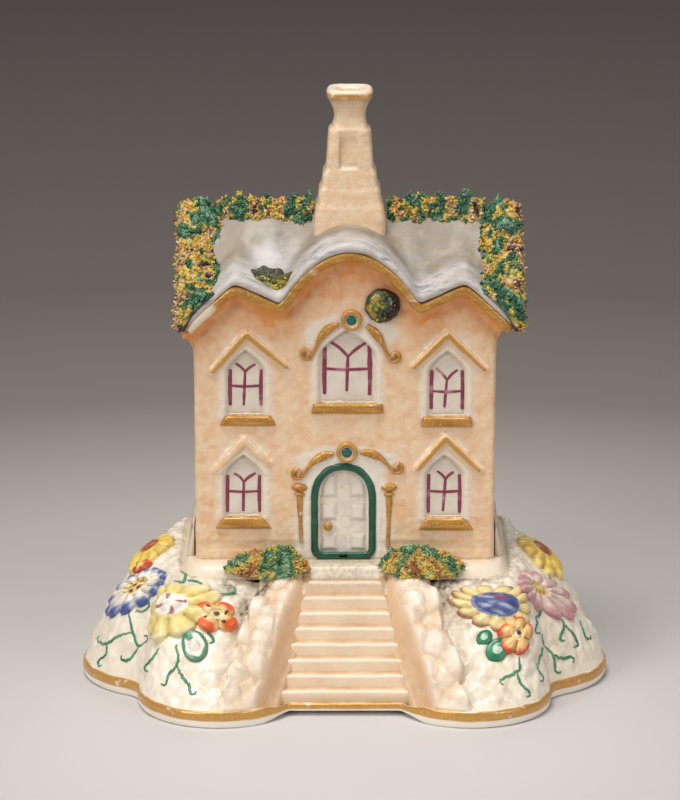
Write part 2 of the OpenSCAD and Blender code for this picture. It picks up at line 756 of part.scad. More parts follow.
// Level of the chimney: rounded oblong of width w and depth d at height z
function chimney_ring(z, w, d) = [
  for (i = [0 : chimney_points - 1])
    let (b = 360 * i / chimney_points, p = oblong_reach(w / 2, d / 2, b) * [cos(b), sin(b)])
    [p.x, p.y, z]
];
function flue_ring(z) = [
  for (i = [0 : chimney_points - 1])
    let (b = 360 * i / chimney_points, reach = flue_w / 2 / max(abs(cos(b)), abs(sin(b))))
    [reach * cos(b), reach * sin(b), z]
];
niche_w = 4.5;
niche_t = 0.8;
module chimney() {
  narrow = chimney_w - chimney_d;
  lip = 0.8;
  levels = [
    [chimney_top, cap_w - 2 * lip, cap_w - 2 * lip],
    [chimney_top - lip, cap_w, cap_w],
    [chimney_top - 2.2 * lip, cap_w, cap_w],
    [chimney_top - 3.4 * lip, cap_w - 2 * lip, cap_w - 2 * lip],
    [shaft_top + 0.24 * pot_h, neck_w, neck_w],
    [shaft_top, shaft_top_w, shaft_top_w],
    [third_step, shaft_w, shaft_w - narrow / 4],
    [third_step, shaft_w + 2 * step_in, shaft_w + 2 * step_in - narrow / 4],
    [second_step, shaft_w + 4 * step_in, shaft_w + 4 * step_in - narrow / 2],
    [second_step, shaft_w + 6 * step_in, shaft_w + 6 * step_in - narrow / 2],
    [first_step, shaft_w + 8 * step_in, shaft_w + 8 * step_in - narrow],
    [first_step, chimney_w - 2 * step_in, chimney_d - 2 * step_in],
    [first_step - chimney_rise - chimney_d / 4, chimney_w, chimney_d],
    [chimney_foot, chimney_w, chimney_d]
  ];
  color(apricot)
    in_cottage()
      translate([roof_x, ridge_y, 0])
        difference() {
          slab(
            [for (level = levels) chimney_ring(level[0], level[1], level[2])],
            [for (level = levels) flue_ring(level[0])],
            true
          );
          translate([-niche_w / 2, -chimney_d / 2 - (shaft_w - shaft_top_w), third_step + niche_t])
            cube([niche_w, chimney_d / 2 - shaft_top_w / 2 + niche_t + (shaft_w - shaft_top_w), shaft_h - 2 * niche_t]);
        }
}

cove_steps = 5;
cove_edge = 0.3;
cove_out = eave_front - 1;
// Forward reach of the cove at share t of its height
function cove_reach(t) = cove_edge + (cove_out - cove_edge) * pow(t, 2);
// Share of the cove's height at x, z, below 0 on the bare wall
function cove_share(x, z) = 1 - (eave_line(x) - roof_gap - moulding_h - z) / cove_h;
module eave_cove() {
  half = house_w / 2;
  columns = [for (i = [0 : roof_columns]) -half + house_w * i / roof_columns];
  color(apricot)
    in_cottage()
      slab(
        [
          for (x = columns)
            [
              for (j = [0 : cove_steps])
                let (t = j / cove_steps)
                [x, -cove_reach(t), eave_line(x) - roof_gap - moulding_h - cove_h * (1 - t)],
              [x, -cove_out, eave_line(x) - roof_gap]
            ]
        ],
        [
          for (x = columns)
            [
              for (j = [0 : cove_steps])
                let (t = j / cove_steps)
                [x, 0, eave_line(x) - roof_gap - moulding_h - cove_h * (1 - t)],
              [x, 0, eave_line(x) - roof_gap]
            ]
        ]
      );
}
module eave_moulding() {
  half = house_w / 2;
  columns = [for (i = [0 : roof_columns]) -half + house_w * i / roof_columns];
  color(gilt)
    in_cottage()
      on_front(-cove_out, moulding_t)
        polygon([
          for (x = columns) [x, eave_line(x) - roof_gap],
          for (i = [roof_columns : -1 : 0]) [columns[i], eave_line(columns[i]) - roof_gap - moulding_h]
        ]);
}

module window_panes() {
  color(white_glaze) in_cottage() on_front(pane_recess, pane_recess / 2) all_panes(pane_play);
}

module window_hoods() {
  slant = hood_h / hood_half;
  bar = hood_bar * sqrt(1 + slant * slant);
  color(gilt)
    in_cottage()
      on_front(0, relief)
        at_side_windows()
          translate([0, hood_rise - hood_h])
            polygon([
              [-hood_half, 0], [0, hood_h], [hood_half, 0],
              [hood_half - bar / slant, 0], [0, hood_h - bar], [bar / slant - hood_half, 0]
            ]);
}

module window_sills() {
  reveal = 1.2;
  color(gilt)
    in_cottage()
      on_front(0, relief) {
        for (side = [-1, 1]) {
          translate([side * window_x - sill_w / 2, upper_pane - reveal - sill_h]) square([sill_w, sill_h]);
          translate([side * window_x, lower_pane - lower_sill_h])
            polygon([
              [-sill_w / 2, 0], [sill_w / 2, 0], [pane_w / 2, lower_sill_h - pane_play],
              [-pane_w / 2, lower_sill_h - pane_play]
            ]);
        }
        translate([middle_x - middle_sill_w / 2, middle_pane - reveal - sill_h]) square([middle_sill_w, sill_h]);
      }
}

// Turned roundel with a bead, a sunk field and a domed middle
module roundel() {
  bead = 0.8;
  gem = 1.45;
  rotate([90, 0, 0])
    rotate_extrude()
      polygon([
        [0, 0], [roundel_r, 0], [roundel_r, 0.7 * relief], [roundel_r - bead / 2, relief],
        [roundel_r - bead, 0.7 * relief], [gem, 0.6 * relief], [0.7 * gem, 0.95 * relief], [0, 1.1 * relief]
      ]);
}

// Point at share t of a curve from p to q drawn towards the corner c
function bow(p, c, q, t) = p * pow(1 - t, 2) + c * 2 * t * (1 - t) + q * t * t;
scroll_steps = 12;
// Flat leaf from p to q drawn towards c, swelling to width w
module scroll_leaf(p, c, q, w) {
  points = [for (i = [0 : scroll_steps]) bow(p, c, q, i / scroll_steps)];
  function across(i) =
    let (d = points[min(i + 1, scroll_steps)] - points[max(i - 1, 0)])
    [-d.y, d.x] / norm(d) * w / 2 * (0.35 + 0.65 * sin(180 * i / scroll_steps));
  polygon([
    for (i = [0 : scroll_steps]) points[i] + across(i),
    for (i = [scroll_steps : -1 : 0]) points[i] - across(i)
  ]);
}
scroll_w = 2.2;
scroll_curl = 1.2;
// Pair of mirrored scrolls on the front wall: a leaf from p to q drawn towards c, with a round curl at q
module scroll_pair(p, c, q) {
  both_sides() {
    on_front(0, relief) scroll_leaf(p, c, q, scroll_w);
    on_front(0, relief) translate(q + scroll_curl * [0.8, 0.5]) circle(scroll_curl);
  }
}
door_top = door_h + door_band;
module door_scrolls() {
  start = [roundel_r + 0.8, door_top + roundel_r + 0.8];
  end = [pilaster_x - 0.2, pilaster_h + scroll_curl + 0.4];
  color(gilt)
    in_cottage()
      scroll_pair(start, [end.x - 1.4, start.y - 1], end);
}
module middle_window_scrolls() {
  top = middle_pane + middle_h + middle_head;
  start = [roundel_r + 0.8, top + 0.4];
  end = [middle_w / 2 + 4.2, top - 7.8];
  color(gilt)
    in_cottage()
      translate([middle_x, 0, 0])
        scroll_pair(start, [end.x - 1.6, start.y - 1], end);
}
module door_roundel() {
  color(gilt) in_cottage() translate([0, 0, door_top + roundel_r + 0.4]) roundel();
}
module middle_window_roundel() {
  color(gilt)
    in_cottage() translate([middle_x, 0, middle_pane + middle_h + middle_head + roundel_r - 0.6]) roundel();
}

leaf_t = 1.1;
module door_leaf() {
  stile = 1.6;
  rail = 1.3;
  panel_w = (door_w - 3 * stile) / 2;
  panel_h = (door_h - 4 * rail - stile) / 3;
  sunk = 0.4;
  color(white_glaze)
    in_cottage()
      difference() {
        on_front(door_recess, leaf_t) door_outline(door_w - 2 * pane_play, door_h - pane_play);
        on_front(door_recess - leaf_t + sunk, sunk + 1)
          intersection() {
            for (side = [0, 1])
              for (row = [0 : 2])
                translate([
                  side * (panel_w + stile) - panel_w - stile / 2,
                  rail + row * (panel_h + rail)
                ])
                  square([panel_w, panel_h + (row == 2 ? stile : 0)]);
            door_outline(door_w - 2 * stile, door_h - stile);
          }
      }
}
module door_frame() {
  color(enamel_green)
    in_cottage()
      on_front(0, relief)
        difference() {
          door_outline(door_w + 2 * door_band, door_top);
          door_outline(door_w, door_h);
        }
}
module door_knob() {
  stem = 0.5;
  color(gilt)
    in_cottage()
      translate([-0.32 * door_w, door_recess - leaf_t, 0.37 * door_h])
        rotate([90, 0, 0])
          rotate_extrude()
            polygon([
              [0, 0], [0.6 * knob_r, 0], [0.6 * knob_r, stem],
              for (t = [-30 : 15 : 90]) [knob_r * cos(t), stem + knob_r * (0.5 + sin(t))]
            ]);
}
module door_pilasters() {
  cap_half = 1.85;
  cap_tall = 2.1;
  neck = 0.7;
  color(gilt)
    in_cottage()
      on_front(0, relief)
        both_sides()
          translate([pilaster_x, 0]) {
            translate([-cap_half, pilaster_h - cap_tall]) square([2 * cap_half, cap_tall]);
            polygon([
              [-neck / 2, 3.6], [neck / 2, 3.6], [1.25, pilaster_h - cap_tall - neck],
              [neck, pilaster_h - cap_tall - neck], [neck, pilaster_h - cap_tall],
              [-neck, pilaster_h - cap_tall], [-neck, pilaster_h - cap_tall - neck],
              [-1.25, pilaster_h - cap_tall - neck]
            ]);
          }
}

ridge_ivy_stations = 14;
ridge_ivy_across = 8;
// Ivy along one half of the ridge, from the chimney to the gable's band
module ridge_ivy(lump_turn) {
  inner = chimney_w / 2 + 2 * lute_gap;
  outer = roof_half - gable_ivy_w - lute_gap;
  rows = [
    for (i = [0 : ridge_ivy_stations])
      [
        for (j = [0 : ridge_ivy_across])
          [
            inner + (outer - inner) * i / ridge_ivy_stations,
            ridge_y + ridge_ivy_half * (2 * j / ridge_ivy_across - 1),
            sin(180 * j / ridge_ivy_across)
          ]
      ]
  ];
  color(leaf_green)
    in_cottage()
      translate([roof_x, 0, 0])
        slab(
          [
            for (row = rows)
              [
                for (p = row)
                  [p.x, p.y, roof_over(p.x + roof_x, p.y) + lute_gap + 0.6
                    + ivy_t * p[2] * (1 - ivy_clump / 2 + ivy_clump * lumps(60 * p.x + lump_turn, 70 * p.y))]
              ]
          ],
          [for (row = rows) [for (p = row) [p.x, p.y, roof_over(p.x + roof_x, p.y) + lute_gap]]]
        );
}
module ridge_ivy_right() {
  ridge_ivy(0);
}
module ridge_ivy_left() {
  translate([2 * roof_x, 0, 0]) mirror([1, 0, 0]) ridge_ivy(75);
}

gable_ivy_stations = 22;
gable_ivy_across = 10;
// Ivy along one gable's edge, laid over the roof's edge and hanging outside it
module gable_ivy(lump_turn) {
  back = roof_back_y - 1;
  front = eave_y;
  ys = [
    for (k = [0 : gable_ivy_stations / 2]) front + (ridge_y - front) * 2 * k / gable_ivy_stations,
    for (k = [1 : gable_ivy_stations / 2]) ridge_y + (back - ridge_y) * 2 * k / gable_ivy_stations
  ];
  function on_roof(t) = roof_half + lute_gap - gable_ivy_w * (1 - t);
  function seat(y, x) = roof_over(min(x, roof_half) + roof_x, y) + lute_gap;
  edge = 0.7;
  function under(t, y) =
    t < edge ? [on_roof(t / edge), y, seat(y, on_roof(t / edge))]
    : [roof_half + lute_gap, y, seat(y, roof_half) - ivy_hang * (t - edge) / (1 - edge)];
  function over(t, y) =
    let (
      swell = (1 - ivy_clump / 2 + ivy_clump * lumps(42 * y + lump_turn, 400 * t)) * ivy_t,
      turn = 180 * t,
      bulge = [-cos(turn), sin(turn)],
      p = under(t, y)
    )
    [
      p.x + (t > 0.5 ? ivy_hang * 1.1 * pow((t - 0.5) / 0.5, 0.7) : 0),
      y,
      p.z + 0.5 + swell * bulge.y * (t < edge ? 1 : 0.9)
    ];
  color(leaf_green)
    in_cottage()
      translate([roof_x, 0, 0])
        slab(
          [for (i = [0 : gable_ivy_across]) [for (y = ys) over(i / gable_ivy_across, y)]],
          [for (i = [0 : gable_ivy_across]) [for (y = ys) under(i / gable_ivy_across, y)]]
        );
}
module gable_ivy_right() {
  gable_ivy(0);
}
module gable_ivy_left() {
  translate([2 * roof_x, 0, 0]) mirror([1, 0, 0]) gable_ivy(60);
}

valley_cells = 8;
module valley_ivy() {
  middle = [roof_x - arch_half - 2.4, 4.6];
  half = [5, 4.2];
  tall = 1.6;
  color(leaf_green)
    in_cottage()
      patch(
        valley_cells,
        function(r, a, side)
          let (x = middle.x + half.x * r * cos(a), y = middle.y + half.y * r * sin(a))
          [x, y, roof_over(x, y) + 2 * lute_gap + side * (0.4 + tall * (1 - r * r))]
      );
}

tuft_cells = 10;
tuft_t = 3.2;
tuft_x = roof_x + 7.8;
tuft_drop = 14;
module facade_tuft() {
  middle = [tuft_x, arch_h - tuft_drop];
  // The tuft's back follows the wall, and the cove where it reaches above its foot
  function back(x, z) =
    let (t = cove_share(x, z) + 2 * lute_gap / cove_h)
    t < 0 ? 0 : cove_reach(min(t, 1)) + lute_gap;
  color("#3f3a24")
    in_cottage()
      patch(
        tuft_cells,
        function(r, a, side)
          let (x = middle.x + tuft_r * r * cos(a), z = middle.y + tuft_r * r * sin(a))
          [x, -back(x, z) - side * tuft_t * (0.15 + 0.85 * sqrt(1 - r * r)), z]
      );
}

base_rim();
base_mound();
base_plinth();
side_skirting();
stair_flight();
stair_wall_left();
stair_wall_right();
door_bush_left();
door_bush_right();
pastille_pan();
yellow_peony();
blue_aster();
orange_blossom_left();
red_blossom_left();
yellow_daisy_left();
bud_left();
sunflower_right();
orange_blossom_right();
leaves_right();
pink_daisy_right();
yellow_daisy_right();
pastille();
house_walls();
roof();
chimney();
eave_cove();
eave_moulding();
window_panes();
window_hoods();
window_sills();
middle_window_roundel();
middle_window_scrolls();
door_leaf();
door_frame();
door_knob();
door_roundel();
door_scrolls();
door_pilasters();
ridge_ivy_left();
ridge_ivy_right();
gable_ivy_left();
gable_ivy_right();
valley_ivy();
facade_tuft();
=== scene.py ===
"""Cottage-shaped pastille burner: a porcelain cottage that lifts off a flowered rockwork base.

Sizes are millimetres in the part's own frame, with +Z up and the front towards -Y. Meshes are written in
metres.
"""
from __future__ import annotations

import functools
import logging
from dataclasses import dataclass, field
from enum import Enum
from typing import Callable

import bmesh
import bpy
import numpy as np
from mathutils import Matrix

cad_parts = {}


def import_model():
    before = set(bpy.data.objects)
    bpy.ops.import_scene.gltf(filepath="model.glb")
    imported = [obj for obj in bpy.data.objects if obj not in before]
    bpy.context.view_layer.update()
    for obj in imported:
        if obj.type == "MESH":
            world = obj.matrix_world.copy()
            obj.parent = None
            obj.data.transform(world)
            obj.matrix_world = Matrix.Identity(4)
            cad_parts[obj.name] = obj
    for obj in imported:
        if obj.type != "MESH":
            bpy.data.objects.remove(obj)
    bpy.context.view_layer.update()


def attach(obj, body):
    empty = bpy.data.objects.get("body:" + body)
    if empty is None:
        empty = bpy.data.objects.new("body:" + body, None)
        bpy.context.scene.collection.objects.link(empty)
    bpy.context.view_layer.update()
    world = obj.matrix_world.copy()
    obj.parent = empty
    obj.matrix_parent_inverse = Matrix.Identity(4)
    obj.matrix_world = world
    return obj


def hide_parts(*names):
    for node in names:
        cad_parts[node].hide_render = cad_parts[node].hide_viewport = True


Array = np.ndarray
Tint = tuple[float, float, float]
Pair = tuple[float, float]
Triple = tuple[float, float, float]
Node = bpy.types.Node
Socket = bpy.types.NodeSocket

MM = 0.001
TAU = 2.0 * np.pi
WELD = 2e-6
LOG = logging.getLogger("pastille_burner")


def tint(red: int, green: int, blue: int) -> Tint:
    """Linear colour of a glaze named as it looks, each channel from 0 to 255."""
    look = np.array([red, green, blue]) / 255.0
    line = np.where(look <= 0.04045, look / 12.92, ((look + 0.055) / 1.055) ** 2.4)
    return tuple(float(v) for v in line)


def clamp(value: Array) -> Array:
    """Values held between 0 and 1."""
    return np.clip(value, 0.0, 1.0)


def bell(off: Array, width: float) -> Array:
    """Bell curve: 1 at no offset, about a third at a width away."""
    return np.exp(-((off / width) ** 2))


def rounding(share: Array) -> Array:
    """Quarter circle: 1 at a share of 0, falling to 0 at 1 and beyond."""
    return np.sqrt(clamp(1.0 - share**2))


def turns(count: int) -> Array:
    """Directions spaced evenly round a circle, as one row."""
    return (np.arange(count) / count * TAU)[None, :]


def ease(low: float, high: float, value: Array) -> Array:
    """Soft step from 0 at low to 1 at high."""
    t = clamp((value - low) / (high - low))
    return t * t * (3.0 - 2.0 * t)


def smooth_max(first: Array, second: Array, blend: float) -> Array:
    """Larger of two values, rounded where they come within the blend of each other."""
    return np.maximum(first, second) + np.maximum(blend - np.abs(first - second), 0.0) ** 2 / (4.0 * blend)


def lumps(first: Array, second: Array) -> Array:
    """Crossing waves at angles a and b in degrees: half of sin a sin b + sin(1.7a + 40) sin(2.3b + 110)."""
    a, b = np.radians(first), np.radians(second)
    finer = np.sin(1.7 * a + np.radians(40.0)) * np.sin(2.3 * b + np.radians(110.0))
    return (np.sin(a) * np.sin(b) + finer) / 2


def unit(vectors: Array) -> Array:
    """Vectors of length one along the last axis."""
    return vectors / np.maximum(np.linalg.norm(vectors, axis=-1, keepdims=True), 1e-9)


def xyz(x: Array, y: Array, z: Array) -> Array:
    """Points from three coordinates that broadcast together."""
    return np.stack(np.broadcast_arrays(x, y, z), axis=-1).astype(float)


def chance(cells: Array, seed: int) -> Array:
    """Repeatable value from 0 to 1 for each whole-number cell, by mixing its coordinates' bits."""
    c = cells.astype(np.int64)
    mixed = c[..., 0] * 374761393 + c[..., 1] * 668265263 + c[..., 2] * 2147483629 + seed * 974634599
    mixed = mixed & 0xFFFFFFFF
    mixed = ((mixed ^ (mixed >> 13)) * 1274126177) & 0xFFFFFFFF
    return ((mixed ^ (mixed >> 16)) & 0xFFFFFF) / 0xFFFFFF


def clouds(points: Array, size: float, seed: int, octaves: int = 1) -> Array:
    """Gradient noise from about -1 to 1: random slopes at the corners of cells, blended between them.

    Args:
        points: places in millimetres, x, y, z on the last axis.
        size: width of the largest features.
        seed: picks the pattern.
        octaves: how many times finer, weaker detail is added.

    Returns:
        One value for each point.
    """
    total = np.zeros(points.shape[:-1])
    weight = 1.0
    for octave in range(octaves):
        q = points / size * 2.0**octave + 31.7 * seed
        cell = np.floor(q)
        f = q - cell
        w = f**3 * (f * (f * 6.0 - 15.0) + 10.0)
        for corner in np.ndindex(2, 2, 2):
            step = np.array(corner)
            slope = np.stack([chance(cell + step, seed + 101 * k + octave) for k in range(3)], axis=-1)
            share = np.prod(np.where(step == 1, w, 1.0 - w), axis=-1)
            total += weight * share * np.sum((slope * 2.0 - 1.0) * (f - step), axis=-1)
        weight *= 0.5
    return 1.5 * total / (2.0 - 2.0 * weight)


def pebbles(points: Array, size: float, seed: int) -> tuple[Array, Array]:
    """Distances, in stones, to the nearest and second nearest of points strewn one to a cell.

    Args:
        points: places in millimetres.
        size: width of a stone.
        seed: picks the pattern.

    Returns:
        The two distances.
    """
    q = points / size
    cell = np.floor(q)
    near = np.full(q.shape[:-1], 9.0)
    second = near.copy()
    for corner in np.ndindex(3, 3, 3):
        home = cell + np.array(corner) - 1
        stone = home + np.stack([chance(home, seed + 13 * k) for k in range(3)], axis=-1)
        away = np.linalg.norm(q - stone, axis=-1)
        second = np.minimum(second, np.maximum(near, away))
        near = np.minimum(near, away)
    return near, second


def soften(corners: Array, radius: float, steps: int = 4) -> Array:
    """Polyline with each inner corner replaced by a curve that starts and ends a radius from it.

    Args:
        corners: points of the polyline, one to a row.
        radius: reach of the rounding, held to under half of each side.
        steps: points on each rounding, less one.

    Returns:
        The points of the softened line.
    """
    before, at, after = corners[:-2], corners[1:-1], corners[2:]
    back = before - at
    on = after - at
    back_len = np.linalg.norm(back, axis=1, keepdims=True)
    on_len = np.linalg.norm(on, axis=1, keepdims=True)
    start = at + back * np.minimum(radius / np.maximum(back_len, 1e-9), 0.48)
    end = at + on * np.minimum(radius / np.maximum(on_len, 1e-9), 0.48)
    t = np.linspace(0.0, 1.0, steps + 1)[None, :, None]
    arcs = start[:, None] * (1 - t) ** 2 + at[:, None] * 2 * t * (1 - t) + end[:, None] * t**2
    return np.concatenate([corners[:1], arcs.reshape(-1, corners.shape[1]), corners[-1:]])


def spread(points: Array, count: int) -> Array:
    """Polyline resampled to a number of points evenly along its length."""
    run = np.concatenate([[0.0], np.cumsum(np.linalg.norm(np.diff(points, axis=0), axis=1))])
    at = np.linspace(0.0, run[-1], count)
    return np.stack([np.interp(at, run, points[:, k]) for k in range(points.shape[1])], axis=1)


def curve_through(points: Array, count: int) -> Array:
    """Smooth curve through points: a corner-cutting subdivision, then even steps."""
    line = np.asarray(points, dtype=float)
    for _ in range(3):
        cut = np.stack([0.75 * line[:-1] + 0.25 * line[1:], 0.25 * line[:-1] + 0.75 * line[1:]], axis=1)
        line = np.concatenate([line[:1], cut.reshape(-1, line.shape[1]), line[-1:]])
    return spread(line, count)


def with_ends(values: Array) -> Array:
    """Values along paths at [k, i], with the first and the last of each path repeated."""
    return np.concatenate([values[:, :1], values, values[:, -1:]], axis=1)


class Skin:
    """Mesh in the making: grids of points in millimetres, with painted values at each point."""

    def __init__(self) -> None:
        """Starts with no grids."""
        self.points: list[Array] = []
        self.quads: list[Array] = []
        self.layers: list[dict[str, Array]] = []
        self.count = 0

    def grids(self, points: Array, ring: bool = False, loop: bool = False, **layers: Array) -> None:
        """Adds several grids of one size at once.

        Args:
            points: places of point i, j of grid k at [k, i, j].
            ring: whether j closes on itself.
            loop: whether i closes on itself.
            layers: painted values, numbers or colours, that broadcast to the grids.
        """
        k, n, m = points.shape[:3]
        i = np.arange(n if loop else n - 1)[None, :, None]
        j = np.arange(m if ring else m - 1)[None, None, :]
        base = self.count + (np.arange(k) * n * m)[:, None, None]
        i_next = (i + 1) % n
        j_next = (j + 1) % m
        corners = (base + i * m + j, base + i * m + j_next, base + i_next * m + j_next, base + i_next * m + j)
        self.quads.append(np.stack(np.broadcast_arrays(*corners), axis=-1).reshape(-1, 4))
        self.points.append(points.reshape(-1, 3))
        flat = {}
        for name, values in layers.items():
            values = np.asarray(values, dtype=float)
            is_colour = name == "paint"
            shape = (k, n, m, 3) if is_colour else (k, n, m)
            flat[name] = np.broadcast_to(values, shape).reshape((-1, 3) if is_colour else -1)
        self.layers.append(flat)
        self.count += k * n * m

    def grid(self, points: Array, ring: bool = False, loop: bool = False, **layers: Array) -> None:
        """Adds one grid of points[i, j]."""
        lifted = {name: np.asarray(values, dtype=float)[None] for name, values in layers.items()}
        self.grids(points[None], ring, loop, **lifted)

    def capped(self, points: Array, **layers: Array) -> None:
        """Adds one grid whose rows are rings, closed by drawing both end rows together.

        Args:
            points: place j on ring i at [i, j].
            layers: painted values at [i, j], 0 on the columns that they don't reach.
        """
        n, m = points.shape[:2]
        ends = [np.broadcast_to(row.mean(axis=0), row.shape)[None] for row in (points[0], points[-1])]
        padded = {}
        for name, values in layers.items():
            values = np.broadcast_to(values, (n,) + np.shape(values)[1:] if np.ndim(values) else (n, m))
            rest = [(0, 0)] * (values.ndim - 2)
            whole = np.pad(values, [(0, 0), (0, m - values.shape[1]), *rest])
            padded[name] = np.pad(whole, [(1, 1), (0, 0), *rest], mode="edge")
        self.grid(np.concatenate([ends[0], points, ends[1]]), ring=True, **padded)

    def tubes(
        self, paths: Array, wide: Array, tall: Array, up: Array, sides: int = 8, **layers: Array
    ) -> None:
        """Adds tubes with an oval section carried along paths, closed by points at both ends.

        Args:
            paths: middle line of tube k at [k, i].
            wide: half width across the path and the up direction, at [k, i].
            tall: half height along the up direction, at [k, i].
            up: direction of the section's height, broadcast to the paths.
            sides: points round a section.
            layers: painted values at [k, i].
        """
        run = np.gradient(paths, axis=1)
        side = unit(np.cross(run, np.broadcast_to(up, paths.shape)))
        top = unit(np.cross(side, run))
        line, side, top = (with_ends(v) for v in (paths, side, top))
        wide, tall = (np.pad(np.broadcast_to(v, paths.shape[:2]), ((0, 0), (1, 1))) for v in (wide, tall))
        turn = np.arange(sides) / sides * TAU
        across = wide[..., None, None] * np.cos(turn)[:, None] * side[:, :, None]
        above = tall[..., None, None] * np.sin(turn)[:, None] * top[:, :, None]
        painted = {}
        for name, values in layers.items():
            values = np.asarray(values, dtype=float)
            whole = np.broadcast_to(values, paths.shape[:2] + values.shape[2:])
            painted[name] = with_ends(whole)[:, :, None]
        self.grids(line[:, :, None] + across + above, ring=True, **painted)

    def settle(
        self, name: str, finish: Finish, body: Body, slot: str, *nodes: str, sharp: float = 180.0
    ) -> None:
        """Makes the piece: welds its seams, turns its faces outwards, finishes it and hangs it on its body.

        Args:
            name: the piece's name.
            finish: the finish that it wears.
            body: the body that it moves with.
            slot: the name of a material slot, not used.
            nodes: the solids that it replaces.
            sharp: degrees between faces above which an edge stays sharp.
        """
        mesh = bpy.data.meshes.new(name)
        points = np.concatenate(self.points) * MM
        mesh.from_pydata(points.tolist(), [], np.concatenate(self.quads).tolist())
        sizes = [len(p) for p in self.points]
        for layer in sorted({key for painted in self.layers for key in painted}):
            is_colour = layer == "paint"
            blank = [np.zeros((n, 3)) if is_colour else np.zeros(n) for n in sizes]
            values = np.concatenate([painted.get(layer, none) for painted, none in zip(self.layers, blank)])
            if is_colour:
                values = np.concatenate([values, np.ones((len(values), 1))], axis=1)
            kind = "FLOAT_COLOR" if is_colour else "FLOAT"
            attribute = mesh.attributes.new(layer, kind, "POINT")
            attribute.data.foreach_set("color" if is_colour else "value", values.astype(np.float32).ravel())
        bm = bmesh.new()
        bm.from_mesh(mesh)
        bmesh.ops.remove_doubles(bm, verts=bm.verts, dist=WELD)
        bmesh.ops.recalc_face_normals(bm, faces=bm.faces)
        bm.to_mesh(mesh)
        bm.free()
        mesh.shade_smooth()
        if sharp < 180.0:
            mesh.set_sharp_from_angle(angle=np.radians(sharp))
        mesh.materials.append(material_of(finish))
        piece = bpy.data.objects.new(name, mesh)
        bpy.context.scene.collection.objects.link(piece)
        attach(piece, body.value)
        if nodes:
            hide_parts(*nodes)
        LOG.info("%s on %s: %d faces", name, body.value, len(mesh.polygons))


class Body(Enum):
    """The burner's moving bodies."""

    BASE = "base"
    COTTAGE = "cottage"
    PASTILLE = "pastille"


class Graph:
    """Shorthand for wiring shader nodes in one tree."""

    def __init__(self, tree: bpy.types.NodeTree) -> None:
        """Keeps the tree that nodes are added to."""
        self.tree = tree

    def add(self, kind: str, feeds: dict, **settings: object) -> Node:
        """Adds a node.

        Args:
            kind: the node's type after the word ShaderNode.
            feeds: values or sockets for its inputs, by name or number.
            settings: its own properties.

        Returns:
            The node.
        """
        node = self.tree.nodes.new("ShaderNode" + kind)
        for key, value in settings.items():
            setattr(node, key, value)
        self.fill(node, feeds)
        return node

    def fill(self, node: Node, feeds: dict) -> None:
        """Links sockets to a node's inputs, or sets the inputs to values."""
        for key, value in feeds.items():
            entry = node.inputs[key]
            if isinstance(value, Socket):
                self.tree.links.new(value, entry)
            elif isinstance(value, tuple) and entry.type == "RGBA":
                entry.default_value = (*value[:3], 1.0)
            else:
                entry.default_value = value

    def math(self, operation: str, first: object, second: object, clamped: bool = False) -> Socket:
        """Adds a math node and returns its value."""
        return self.add("Math", {0: first, 1: second}, operation=operation, use_clamp=clamped).outputs[0]

    def times(self, first: object, second: object, clamped: bool = False) -> Socket:
        """Multiplies two values."""
        return self.math("MULTIPLY", first, second, clamped)

    def blend(self, share: object, first: object, second: object, mode: str = "MIX") -> Socket:
        """Adds a colour mix from first to second and returns its colour."""
        feeds = {0: share, 6: first, 7: second}
        return self.add("Mix", feeds, data_type="RGBA", blend_type=mode, clamp_factor=True).outputs[2]

    def span(self, value: object, low: object, high: object, start: float = 0.0, end: float = 1.0) -> Socket:
        """Maps a value softly from low and high to start and end."""
        feeds = {"Value": value, "From Min": low, "From Max": high, "To Min": start, "To Max": end}
        return self.add("MapRange", feeds, interpolation_type="SMOOTHSTEP").outputs[0]

    def noise(self, place: object, scale: object, detail: float = 3.0) -> Socket:
        """Adds noise at a place and returns its value."""
        return self.add("TexNoise", {"Vector": place, "Scale": scale, "Detail": detail}).outputs["Fac"]

    def layer(self, name: str, output: str = "Fac") -> Socket:
        """Reads values painted on the mesh."""
        return self.add("Attribute", {}, attribute_name=name).outputs[output]

    def effect(self, group: bpy.types.NodeTree, **feeds: object) -> bpy.types.NodeOutputs:
        """Adds a shared effect and returns its outputs."""
        return self.add("Group", feeds, node_tree=group).outputs

    def bump(self, shader: Node, height: Socket, strength: float, reach: float) -> None:
        """Feeds a height through a Bump node into the shader's normal.

        Args:
            shader: the material's shader.
            height: the height field.
            strength: how strongly it shows.
            reach: height in metres that a value of 1 stands for.
        """
        bump = self.add("Bump", {"Strength": strength, "Distance": reach, "Height": height})
        self.fill(shader, {"Normal": bump.outputs["Normal"]})


def effect_group(name: str, inputs: dict, outputs: tuple[str, ...]) -> tuple[Graph, dict, Node]:
    """Starts a shared effect as a node group that works at a place.

    Args:
        name: the group's name.
        inputs: first values of the inputs besides the place, vectors as tuples.
        outputs: names of the values that it puts out.

    Returns:
        The group's graph, its input sockets by name, and its output node.
    """
    tree = bpy.data.node_groups.new(name, "ShaderNodeTree")
    inputs = {"Place": (0.0, 0.0, 0.0), **inputs}
    for key, value in inputs.items():
        kind = "NodeSocketVector" if isinstance(value, tuple) else "NodeSocketFloat"
        tree.interface.new_socket(key, in_out="INPUT", socket_type=kind).default_value = value
    for key in outputs:
        tree.interface.new_socket(key, in_out="OUTPUT", socket_type="NodeSocketFloat")
    entry = tree.nodes.new("NodeGroupInput")
    ending = tree.nodes.new("NodeGroupOutput")
    return Graph(tree), {key: entry.outputs[key] for key in inputs}, ending


